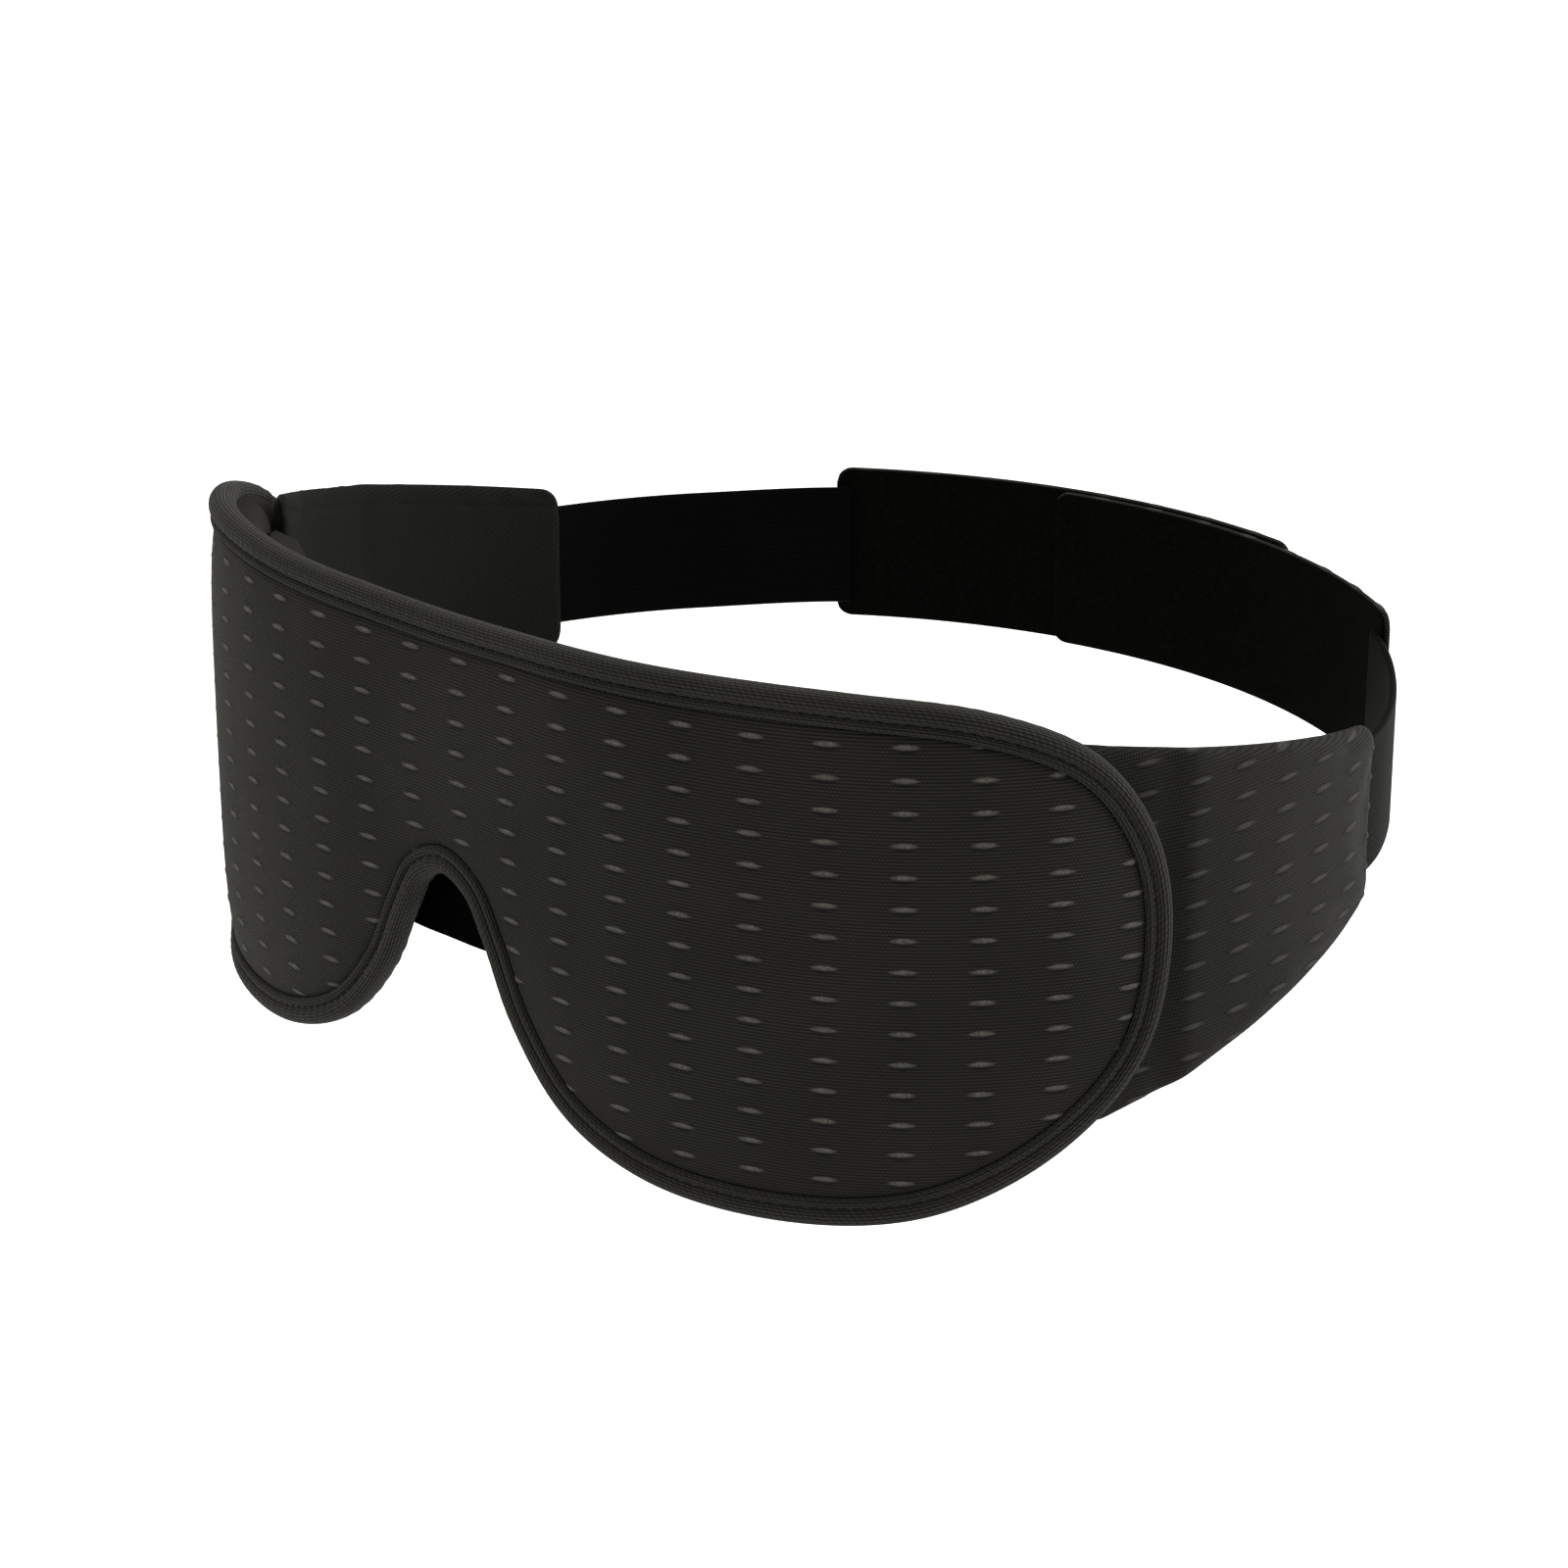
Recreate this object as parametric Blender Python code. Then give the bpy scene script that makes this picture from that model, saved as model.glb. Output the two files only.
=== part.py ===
"""Contoured sleep eye mask on an adjustable hook-and-loop strap, held open in its worn ring.

Metres, +Z up. The wearer looks along -Y and their left is +X. The origin is the middle of the head
opening. Two families of surface carry every piece:
  the front curve, a chain of arcs seen from above, addressed by arc length s, depth inwards and height;
  the ring curve, the strap's path round the head, addressed by an angle from +Y about RING_CENTRE_Y.
"""

import math

import bpy
import numpy as np

MM = 0.001

# Front, seen from above: flat at the nose, then ever more curved towards the temples.
FRONT_Y = -83.2 * MM
FRONT_ARCS = [(20 * MM, None), (36 * MM, 88 * MM), (26 * MM, 55 * MM), (60 * MM, 78 * MM)]

# Half of the front's stitch line in (s, z), from the top centre round the temple to the nose arch.
STITCH_LINE = [
    (0.0, 28.5), (30.0, 29.1), (66.0, 29.1), (84.0, 26.8), (97.0, 20.8), (104.3, 10.5), (106.5, -2.0),
    (103.6, -16.5), (93.9, -27.3), (77.6, -35.6), (57.0, -38.0), (37.0, -36.4), (24.0, -31.0),
    (15.3, -21.8), (10.4, -12.4), (6.2, -5.9), (0.0, -3.2),
]
OUTLINE_POINTS = 46
TURN_WEIGHT = 10 * MM

# Layers of the front, as depths behind its outer face.
FACE_DEPTH = (0.0, 1.0 * MM)
CORE_DEPTH = (1.3 * MM, 5.8 * MM)
LINING_DEPTH = (6.3 * MM, 7.1 * MM)
PAD_BASE = 7.6 * MM
FACE_INSET = 2.3 * MM
CORE_INSET = 1.7 * MM

# Rolled rim round the edge: an oval section outside the stitch line, proud of the face.
RIM_INNER = 0.2 * MM
RIM_WIDTH = 2.4 * MM
RIM_DEPTH = (-0.8 * MM, 3.2 * MM)
RIM_SKIN = 0.4 * MM
RIM_MOUTH = math.radians(50)

# Welt: the braided cord laid in the seam just inside the stitches.
WELT_INSET = 1.15 * MM
WELT_HALF_WIDTH = 0.8 * MM
WELT_HALF_HEIGHT = 0.65 * MM
WELT_DEPTH = 0.3 * MM

# Ring-shaped eye pads: oval opening, domed section.
PAD_CENTRE = (55.0 * MM, -4.0 * MM)
PAD_INSET = 4.4 * MM
PAD_NOSE_LIMIT = 21.5 * MM
PAD_TEMPLE_LIMIT = 92.0 * MM
PAD_EYE_HOLE = (22.0 * MM, 15.0 * MM)
PAD_HEIGHT = 4.6 * MM
PAD_SKIN = 0.8 * MM

# Nose flap hanging behind the arch.
FLAP_HALF_WIDTH = 20.5 * MM
FLAP_DEPTH = (7.7 * MM, 8.9 * MM)
FLAP_TOP = 3.0 * MM
FLAP_HEM = 0.6 * MM
FLAP_BOTTOM = -19.6 * MM
FLAP_CORNER = 4.0 * MM

# Strap ring: one radius round the back, drawn in towards the temples by (amount, first angle, last angle)
# and stepping out where the bands overlap. Sides are 1.0 for the wearer's left, -1.0 for the right.
RING_CENTRE_Y = -23.4 * MM
RING_RADIUS = 89.5 * MM
RING_DRAW_IN = {1.0: (8.3 * MM, 62.0, 108.0), -1.0: (7.5 * MM, 30.0, 112.0)}
BAND_STEP = {1.0: 0.8 * MM, -1.0: 3.05 * MM}
BAND_STEP_ANGLES = (32.0, 52.0)

GAP = 0.3 * MM

# Wings, from the fold behind the front's rim (hinge) to the end that holds the elastic.
WING_FOLD_ANGLE = 94.6
WING_END_ANGLE = 68.2
WING_TOP = {1.0: (13.3 * MM, 0.235 * MM), -1.0: (13.9 * MM, 0.3 * MM)}
WING_BOTTOM = (-11.2 * MM, -0.666 * MM, 0.0028 * MM)
WING_ROOT_BOTTOM = (-30.4 * MM, 1.3 * MM)
WING_ROOT_FROM = 101.5
WING_CORNER = 3.0 * MM
WING_COVER = (0.55 * MM, 1.5 * MM)
WING_FOAM = (-0.45 * MM, 0.25 * MM)
WING_LINING = (-1.5 * MM, -0.75 * MM)
ROOT_HALF_THICKNESS = 1.0 * MM
ROOT_PATH = [(96.1, 82.0), (98.0, 81.35), (100.0, 80.7), (104.0, 79.45), (107.0, 78.45)]

# Elastic straps and closure bands.
STRAP_Z = 1.7 * MM
ELASTIC_HALF_HEIGHT = 9.85 * MM
ELASTIC_HALF_THICKNESS = 0.5 * MM
STRAP_FOLD_ANGLE = 67.4
ELASTIC_END_ANGLE = 36.2
ELASTIC_CORNER = 1.0 * MM
BAND_HALF_HEIGHT = 12.5 * MM
BAND_ANGLES = (38.0, -14.4)
BAND_CORNER = 2.6 * MM
BAND_LINING = (0.7 * MM, 1.1 * MM)
BAND_COVER = (1.4 * MM, 1.95 * MM)
HOOK_ANGLES = (11.5, -12.5)
HOOK_HALF_HEIGHT = 10.6 * MM
HOOK_LAYER = (2.25 * MM, 2.65 * MM)

SIDES = {"left": 1.0, "right": -1.0}


# ---------------------------------------------------------------- curves

def smooth_step(t):
    t = min(max(t, 0.0), 1.0)
    return t * t * (3.0 - 2.0 * t)


def front_point(s, depth):
    """Plan position at arc length s along the front, depth behind its outer face."""
    side = math.copysign(1.0, s)
    left = abs(s)
    x, y, turn = 0.0, FRONT_Y, 0.0
    for length, radius in FRONT_ARCS:
        run = min(left, length)
        if radius is None:
            x += run
        else:
            after = turn + run / radius
            x += radius * (math.sin(after) - math.sin(turn))
            y += radius * (math.cos(turn) - math.cos(after))
            turn = after
        left -= run
        if left <= 0.0:
            break
    return side * (x - depth * math.sin(turn)), y + depth * math.cos(turn)


def ring_radius(angle, side):
    draw_in, start, end = RING_DRAW_IN[side]
    band, free = BAND_STEP_ANGLES
    radius = RING_RADIUS - draw_in * smooth_step((abs(angle) - start) / (end - start))
    return radius + BAND_STEP[side] * smooth_step((free - abs(angle)) / (free - band))


def polar(angle, radius):
    turn = math.radians(angle)
    return radius * math.sin(turn), RING_CENTRE_Y + radius * math.cos(turn)


def ring_point(angle, offset, side):
    """Plan position on one side's strap path; the angle runs back from +Y on that side."""
    x, y = polar(angle, ring_radius(angle, side) + offset)
    return side * x, y


def spline(points, count):
    """Points of a centripetal Catmull-Rom curve, closer where it turns; its ends lie on the mirror line."""
    knots = np.array(points) * MM
    mirror = np.array([-1.0, 1.0])
    run = np.vstack([knots[1] * mirror, knots, knots[-2] * mirror])
    fine = []
    for p0, p1, p2, p3 in zip(run, run[1:], run[2:], run[3:]):
        times = np.cumsum([0.0] + [math.sqrt(math.dist(a, b)) for a, b in ((p0, p1), (p1, p2), (p2, p3))])
        for t in np.linspace(times[1], times[2], 16, endpoint=False):
            a1 = p0 + (p1 - p0) * (t - times[0]) / (times[1] - times[0])
            a2 = p1 + (p2 - p1) * (t - times[1]) / (times[2] - times[1])
            a3 = p2 + (p3 - p2) * (t - times[2]) / (times[3] - times[2])
            b1 = a1 + (a2 - a1) * (t - times[0]) / (times[2] - times[0])
            b2 = a2 + (a3 - a2) * (t - times[1]) / (times[3] - times[1])
            fine.append(b1 + (b2 - b1) * (t - times[1]) / (times[2] - times[1]))
    fine.append(knots[-1])
    fine = np.array(fine)
    steps = np.diff(fine, axis=0)
    turns = np.abs(np.diff(np.unwrap(np.arctan2(steps[:, 1], steps[:, 0])), prepend=0.0))
    turns[0] = 0.0
    along = np.concatenate([[0.0], np.cumsum(np.linalg.norm(steps, axis=1) + TURN_WEIGHT * turns)])
    even = np.linspace(0.0, along[-1], count)
    return np.column_stack([np.interp(even, along, fine[:, 0]), np.interp(even, along, fine[:, 1])])


def outward_normals(half):
    """Normals of the half outline, pointing out of the front's cloth."""
    tangent = np.gradient(half, axis=0)
    tangent[0] = (1.0, 0.0)
    tangent[-1] = (-1.0, 0.0)
    tangent /= np.linalg.norm(tangent, axis=1, keepdims=True)
    return np.column_stack([-tangent[:, 1], tangent[:, 0]])


HALF_LINE = spline(STITCH_LINE, OUTLINE_POINTS)
HALF_NORMALS = outward_normals(HALF_LINE)


def inset_line(inset):
    return HALF_LINE - HALF_NORMALS * inset


def whole_line():
    """The closed stitch line and its outward normals, all the way round."""
    mirror = np.array([-1.0, 1.0])
    points = np.vstack([HALF_LINE, HALF_LINE[-2:0:-1] * mirror])
    normals = np.vstack([HALF_NORMALS, HALF_NORMALS[-2:0:-1] * mirror])
    return points, normals


# ---------------------------------------------------------------- mesh helpers

def add_object(name, material, vertices, faces, parent=None):
    """A mesh object whose origin is its parent empty's place, so that it turns about its joint's axis."""
    mesh = bpy.data.meshes.new(name)
    origin = np.array(parent.location if parent else (0.0, 0.0, 0.0))
    mesh.from_pydata([tuple(np.array(v) - origin) for v in vertices], [], faces)
    mesh.validate()
    mesh.shade_smooth()
    mesh.set_sharp_from_angle(angle=math.radians(35))
    mesh.materials.append(material)
    obj = bpy.data.objects.new(name, mesh)
    bpy.context.collection.objects.link(obj)
    obj.parent = parent
    return obj


def add_axis(name, location):
    """An empty on a joint's axis, which the moving pieces hang from."""
    empty = bpy.data.objects.new(name, None)
    empty.location = location
    bpy.context.collection.objects.link(empty)
    return empty


def sheet_solid(columns, rows):
    """A closed slab from columns of (outer xy, inner xy, low z, high z), with rows of faces in height."""
    vertices = []
    for outer, inner, low, high in columns:
        for x, y in (outer, inner):
            for row in range(rows + 1):
                vertices.append((x, y, low + (high - low) * row / rows))
    side = rows + 1
    faces = []
    for i in range(len(columns) - 1):
        a, b = 2 * side * i, 2 * side * (i + 1)
        for row in range(rows):
            faces.append((a + row, b + row, b + row + 1, a + row + 1))
            faces.append((a + side + row + 1, b + side + row + 1, b + side + row, a + side + row))
        faces.append((a, a + side, b + side, b))
        faces.append((a + rows, b + rows, b + side + rows, a + side + rows))
    for base, order in ((0, 1), (2 * side * (len(columns) - 1), -1)):
        for row in range(rows):
            faces.append((base + row, base + row + 1, base + side + row + 1, base + side + row)[::order])
    return vertices, faces


def flip_if_inside_out(vertices, faces):
    """Turns every face over when the closed mesh's signed volume is negative."""
    volume = 0.0
    for face in faces:
        corner = np.array(vertices[face[0]])
        for i in range(1, len(face) - 1):
            volume += np.dot(corner, np.cross(vertices[face[i]], vertices[face[i + 1]]))
    if volume < 0.0:
        return [face[::-1] for face in faces]
    return faces


def ring_solid(sections):
    """A closed ring from equal closed sections, each a list of points, joined round and back to the first."""
    vertices = [point for section in sections for point in section]
    size = len(sections[0])
    faces = []
    for i in range(len(sections)):
        a, b = i * size, (i + 1) % len(sections) * size
        for j in range(size):
            k = (j + 1) % size
            faces.append((a + j, a + k, b + k, b + j))
    return vertices, faces


def rounded_stations(start, end, count, corner, scale):
    """Stations from start to end, closer together within a corner radius of both; scale turns them to metres."""
    reach = corner / scale * math.copysign(1.0, end - start)
    near = [1.0 - math.cos(math.radians(a)) for a in (0, 30, 60, 90)]
    stations = [start + reach * t for t in near]
    stations += list(np.linspace(start + reach, end - reach, count)[1:-1])
    stations += [end - reach * t for t in reversed(near)]
    return stations


def corner_cut(distance, corner):
    """How much a rounded corner takes off an edge at a distance from the end."""
    if distance >= corner:
        return 0.0
    return corner - math.sqrt(max(corner * corner - (corner - distance) ** 2, 0.0))


# ---------------------------------------------------------------- pieces of the front

def front_slab(inset, depths):
    """One layer of the front: columns between the top and bottom branches of the inset stitch line."""
    half = inset_line(inset)
    tip = int(np.argmax(half[:, 0]))
    top, bottom = half[: tip + 1], half[tip:][::-1]
    stations = np.unique(np.round(np.concatenate([bottom[1:-1, 0], top[:: 4, 0]]), 6))
    stations = stations[(stations > 0.9 * MM) & (stations < half[tip, 0] - 0.5 * MM)]
    spaced = [0.0]
    for s in stations:
        if s - spaced[-1] > 0.9 * MM:
            spaced.append(s)
    columns = []
    for s in [-s for s in reversed(spaced[1:])] + spaced:
        high = np.interp(abs(s), top[:, 0], top[:, 1])
        low = np.interp(abs(s), bottom[:, 0], bottom[:, 1])
        columns.append((front_point(s, depths[0]), front_point(s, depths[1]), low, high))
    vertices, faces = sheet_solid(columns, 2)
    return vertices, flip_if_inside_out(vertices, faces)


def rim_place(point, normal, outward, depth):
    s, z = point + normal * outward
    x, y = front_point(s, depth)
    return x, y, z


def rim_ring(skin):
    """The rim round the stitch line: an open C of binding when skin is true, else its round filling."""
    points, normals = whole_line()
    half_depth = 0.5 * (RIM_DEPTH[1] - RIM_DEPTH[0])
    middle = 0.5 * (RIM_DEPTH[1] + RIM_DEPTH[0])
    half_width = 0.5 * RIM_WIDTH
    centre = RIM_INNER + half_width
    sections = []
    for point, normal in zip(points, normals):

        def oval(angle, shrink):
            outward = centre + (half_width - shrink) * math.cos(angle)
            return rim_place(point, normal, outward, middle + (half_depth - shrink) * math.sin(angle))

        if skin:
            angles = np.linspace(-math.pi + RIM_MOUTH / 2, math.pi - RIM_MOUTH / 2, 8)
            section = [oval(a, 0.0) for a in angles] + [oval(a, RIM_SKIN) for a in reversed(angles)]
        else:
            angles = np.linspace(-math.pi, math.pi, 9)[:-1]
            section = [oval(a, RIM_SKIN + GAP) for a in angles]
        sections.append(section)
    vertices, faces = ring_solid(sections)
    return vertices, flip_if_inside_out(vertices, faces)


def welt_ring():
    points, normals = whole_line()
    sections = []
    for point, normal in zip(points, normals):
        section = []
        for angle in np.linspace(0.0, 2.0 * math.pi, 7)[:-1]:
            outward = -WELT_INSET + WELT_HALF_WIDTH * math.cos(angle)
            section.append(rim_place(point, normal, outward, WELT_DEPTH + WELT_HALF_HEIGHT * math.sin(angle)))
        sections.append(section)
    vertices, faces = ring_solid(sections)
    return vertices, flip_if_inside_out(vertices, faces)


def pad_outline():
    """The eye pad's outer edge: rays from its middle to the inset stitch line, kept off nose and temple."""
    edge = inset_line(PAD_INSET)
    edge = np.column_stack([np.clip(edge[:, 0], PAD_NOSE_LIMIT, PAD_TEMPLE_LIMIT), edge[:, 1]])
    centre = np.array(PAD_CENTRE)
    bearing = np.unwrap(np.arctan2(edge[:, 1] - centre[1], edge[:, 0] - centre[0]))
    reach = np.linalg.norm(edge - centre, axis=1)
    order = np.argsort(bearing)
    angles = np.linspace(-math.pi, math.pi, 41)[:-1] + bearing.min() + math.pi
    return angles, np.interp(angles, bearing[order], reach[order], period=2.0 * math.pi)


def pad_ring(side, skin):
    """A domed ring round the eye; the cover is a C-shaped skin over the foam, open at the base."""
    angles, reach = pad_outline()
    sections = []
    for angle, outer in zip(angles, reach):
        direction = np.array([math.cos(angle), math.sin(angle)])
        hole = 1.0 / math.hypot(direction[0] / PAD_EYE_HOLE[0], direction[1] / PAD_EYE_HOLE[1])
        half_width = 0.5 * (outer - hole)
        middle = 0.5 * (outer + hole)

        def dome(turn, shrink, base=0.0):
            reach_out = middle + (half_width - shrink) * math.cos(turn)
            s, z = np.array(PAD_CENTRE) + direction * reach_out
            x, y = front_point(side * s, PAD_BASE + base + (PAD_HEIGHT - shrink - base) * math.sin(turn))
            return x, y, z

        turns = np.linspace(0.0, math.pi, 7)
        if skin:
            section = [dome(t, 0.0) for t in turns] + [dome(t, PAD_SKIN) for t in reversed(turns)]
        else:
            section = [dome(t, PAD_SKIN + GAP) for t in turns]
        sections.append(section)
    vertices, faces = ring_solid(sections)
    return vertices, flip_if_inside_out(vertices, faces)


def flap_slab():
    columns = []
    for x in rounded_stations(-FLAP_HALF_WIDTH, FLAP_HALF_WIDTH, 6, FLAP_CORNER, 1.0):
        low = FLAP_BOTTOM + corner_cut(FLAP_HALF_WIDTH - abs(x), FLAP_CORNER)
        columns.append(((x, FRONT_Y + FLAP_DEPTH[0]), (x, FRONT_Y + FLAP_DEPTH[1]), low, FLAP_TOP))
    vertices, faces = sheet_solid(columns, 1)
    return vertices, flip_if_inside_out(vertices, faces)


# ---------------------------------------------------------------- pieces of the strap

def wing_edges(angle, side):
    """Lowest and highest z of a wing at an angle of the ring; its root narrows again behind the rim."""
    past = angle - WING_END_ANGLE
    low = WING_BOTTOM[0] + WING_BOTTOM[1] * past + WING_BOTTOM[2] * past * past
    root_low = WING_ROOT_BOTTOM[0] + WING_ROOT_BOTTOM[1] * (angle - WING_ROOT_FROM)
    return max(low, root_low), WING_TOP[side][0] + WING_TOP[side][1] * past


def wing_layer(side, layer):
    scale = math.radians(1.0) * RING_RADIUS
    columns = []
    stations = rounded_stations(WING_END_ANGLE, WING_FOLD_ANGLE, 8, WING_CORNER, scale)
    for angle in [a for a in stations if a < WING_FOLD_ANGLE - 1.0] + [WING_FOLD_ANGLE]:
        low, high = wing_edges(angle, side)
        cut = corner_cut((angle - WING_END_ANGLE) * scale, WING_CORNER)
        outer = ring_point(angle, layer[1], side)
        inner = ring_point(angle, layer[0], side)
        columns.append((outer, inner, low + cut, high - cut))
    vertices, faces = sheet_solid(columns, 2)
    return vertices, flip_if_inside_out(vertices, faces)


def wing_root(side):
    """The wing's tab between the front's rim and its eye pad, fixed to the front ahead of the fold."""
    columns = []
    for angle, radius in ROOT_PATH:
        low, high = wing_edges(angle, side)
        outer = polar(angle, radius * MM + ROOT_HALF_THICKNESS)
        inner = polar(angle, radius * MM - ROOT_HALF_THICKNESS)
        columns.append(((side * outer[0], outer[1]), (side * inner[0], inner[1]), low, high))
    vertices, faces = sheet_solid(columns, 2)
    return vertices, flip_if_inside_out(vertices, faces)


def strap_strip(side, start, end, count, layer, half_height, corner):
    """A strip of strap between two ring angles, with rounded ends; a band crosses the middle at angle 0."""
    scale = math.radians(1.0) * RING_RADIUS
    base = ring_radius(min(abs(start), abs(end)), side)
    columns = []
    for angle in rounded_stations(start, end, count, corner, scale):
        cut = corner_cut(min(abs(angle - start), abs(angle - end)) * scale, corner)
        radius = base if end < 0 else ring_radius(angle, side)
        outer, inner = polar(angle, radius + layer[1]), polar(angle, radius + layer[0])
        low, high = STRAP_Z - half_height + cut, STRAP_Z + half_height - cut
        columns.append(((side * outer[0], outer[1]), (side * inner[0], inner[1]), low, high))
    vertices, faces = sheet_solid(columns, 2)
    return vertices, flip_if_inside_out(vertices, faces)


# ---------------------------------------------------------------- materials and assembly

def fabric(name, colour, roughness):
    material = bpy.data.materials.new(name)
    material.use_nodes = True
    shader = material.node_tree.nodes["Principled BSDF"]
    shader.inputs["Base Color"].default_value = (*colour, 1.0)
    shader.inputs["Roughness"].default_value = roughness
    shader.inputs["Metallic"].default_value = 0.0
    return material


def build_front():
    knit = (0.030, 0.030, 0.028)
    add_object("face_panel", fabric("embossed_knit", knit, 0.85), *front_slab(FACE_INSET, FACE_DEPTH))
    add_object("foam_core", fabric("foam", (0.06, 0.06, 0.06), 0.95), *front_slab(CORE_INSET, CORE_DEPTH))
    add_object("front_lining", fabric("lining", (0.018, 0.018, 0.017), 0.9), *front_slab(CORE_INSET, LINING_DEPTH))
    add_object("rim_binding", fabric("rim_twill", knit, 0.85), *rim_ring(True))
    add_object("rim_filling", fabric("rim_foam", (0.06, 0.06, 0.06), 0.95), *rim_ring(False))
    add_object("seam_welt", fabric("welt_braid", (0.035, 0.035, 0.033), 0.85), *welt_ring())
    for name, side in SIDES.items():
        add_object(f"eye_pad_foam_{name}", fabric(f"pad_foam_{name}", (0.06, 0.06, 0.06), 0.95), *pad_ring(side, False))
        add_object(f"eye_pad_cover_{name}", fabric(f"pad_cover_{name}", (0.02, 0.02, 0.019), 0.9), *pad_ring(side, True))
        add_object(f"wing_root_{name}", fabric(f"wing_root_{name}", (0.025, 0.025, 0.024), 0.9), *wing_root(side))
    axis = add_axis("nose_flap_axis", (0.0, FRONT_Y + 0.5 * sum(FLAP_DEPTH), FLAP_TOP - FLAP_HEM))
    add_object("nose_flap", fabric("flap_cloth", (0.012, 0.012, 0.012), 0.95), *flap_slab(), axis)


def build_side(name, side):
    """One side's wing, elastic and closure band, each on an empty that stands on its joint's axis."""
    fold = add_axis(f"wing_fold_{name}", (*ring_point(WING_FOLD_ANGLE, 0.0, side), 0.0))
    add_object(f"wing_cover_{name}", fabric(f"wing_knit_{name}", (0.030, 0.030, 0.028), 0.85),
               *wing_layer(side, WING_COVER), fold)
    add_object(f"wing_foam_{name}", fabric(f"wing_foam_{name}", (0.06, 0.06, 0.06), 0.95),
               *wing_layer(side, WING_FOAM), fold)
    add_object(f"wing_lining_{name}", fabric(f"wing_lining_{name}", (0.018, 0.018, 0.017), 0.9),
               *wing_layer(side, WING_LINING), fold)

    bend = add_axis(f"strap_fold_{name}", (*ring_point(STRAP_FOLD_ANGLE, 0.0, side), 0.0))
    elastic = (-ELASTIC_HALF_THICKNESS, ELASTIC_HALF_THICKNESS)
    add_object(f"elastic_{name}", fabric(f"elastic_{name}", (0.014, 0.014, 0.014), 0.7),
               *strap_strip(side, STRAP_FOLD_ANGLE, ELASTIC_END_ANGLE, 8, elastic,
                            ELASTIC_HALF_HEIGHT, ELASTIC_CORNER), bend)

    centre = add_axis(f"band_centre_{name}", (0.0, RING_CENTRE_Y, 0.0))
    for piece, layer in (("lining", BAND_LINING), ("cover", BAND_COVER)):
        add_object(f"band_{piece}_{name}", fabric(f"band_{piece}_{name}", (0.016, 0.016, 0.015), 0.9),
                   *strap_strip(side, *BAND_ANGLES, 12, layer, BAND_HALF_HEIGHT, BAND_CORNER), centre)
    return centre


def main():
    for obj in list(bpy.data.objects):
        bpy.data.objects.remove(obj, do_unlink=True)
    build_front()
    centres = {name: build_side(name, side) for name, side in SIDES.items()}
    add_object("hook_patch", fabric("hook_tape", (0.010, 0.010, 0.010), 0.6),
               *strap_strip(SIDES["left"], *HOOK_ANGLES, 8, HOOK_LAYER, HOOK_HALF_HEIGHT, GAP), centres["left"])
    bpy.context.view_layer.update()


main()
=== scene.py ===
"""Looks of the contoured sleep mask: knitted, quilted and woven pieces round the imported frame.

Metres, +Z up, the wearer looks along -Y. The front's pieces are placed by arc length s along the front
curve, height z and depth inwards; the strap's pieces by an angle from +Y round the head and an offset.
"""

import math

import bpy
import numpy as np
from mathutils import Matrix, Vector, geometry


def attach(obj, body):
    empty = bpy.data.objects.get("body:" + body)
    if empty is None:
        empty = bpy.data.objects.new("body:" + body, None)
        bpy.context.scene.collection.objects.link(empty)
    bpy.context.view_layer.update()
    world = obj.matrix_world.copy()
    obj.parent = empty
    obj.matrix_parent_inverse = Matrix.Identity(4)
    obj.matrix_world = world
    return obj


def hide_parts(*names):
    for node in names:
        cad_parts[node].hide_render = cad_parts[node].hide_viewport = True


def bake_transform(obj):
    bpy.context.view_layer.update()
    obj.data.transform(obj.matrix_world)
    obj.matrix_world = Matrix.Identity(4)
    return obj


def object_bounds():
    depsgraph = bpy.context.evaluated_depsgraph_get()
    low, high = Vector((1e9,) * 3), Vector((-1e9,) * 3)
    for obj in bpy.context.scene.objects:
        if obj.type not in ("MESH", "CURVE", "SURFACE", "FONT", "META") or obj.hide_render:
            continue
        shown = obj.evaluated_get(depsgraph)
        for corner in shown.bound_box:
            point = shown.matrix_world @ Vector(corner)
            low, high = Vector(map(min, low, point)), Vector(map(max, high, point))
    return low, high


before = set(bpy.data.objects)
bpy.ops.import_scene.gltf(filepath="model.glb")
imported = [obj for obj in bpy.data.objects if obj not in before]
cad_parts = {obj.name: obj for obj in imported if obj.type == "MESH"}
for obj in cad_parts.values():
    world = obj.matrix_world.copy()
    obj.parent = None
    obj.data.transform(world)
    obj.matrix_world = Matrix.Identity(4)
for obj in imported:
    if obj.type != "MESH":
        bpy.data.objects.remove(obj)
cad_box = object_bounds()

MM = 0.001
SIDES = {"left": 1.0, "right": -1.0}

# Front curve and stitch line, as the frame has them.
FRONT_Y = -83.2 * MM
FRONT_ARCS = [(20 * MM, None), (36 * MM, 88 * MM), (26 * MM, 55 * MM), (60 * MM, 78 * MM)]
STITCH_LINE = [
    (0.0, 28.5), (30.0, 29.1), (66.0, 29.1), (84.0, 26.8), (97.0, 20.8), (104.3, 10.5), (106.5, -2.0),
    (103.6, -16.5), (93.9, -27.3), (77.6, -35.6), (57.0, -38.0), (37.0, -36.4), (24.0, -31.0),
    (15.3, -21.8), (10.4, -12.4), (6.2, -5.9), (0.0, -3.2),
]
OUTLINE_STEP = 0.25 * MM
CLOTH_SPAN = (-112, 112)
CLOTH_HEIGHTS = (-42, 32)
CLOTH_ROW_RATIO = 0.87

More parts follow.
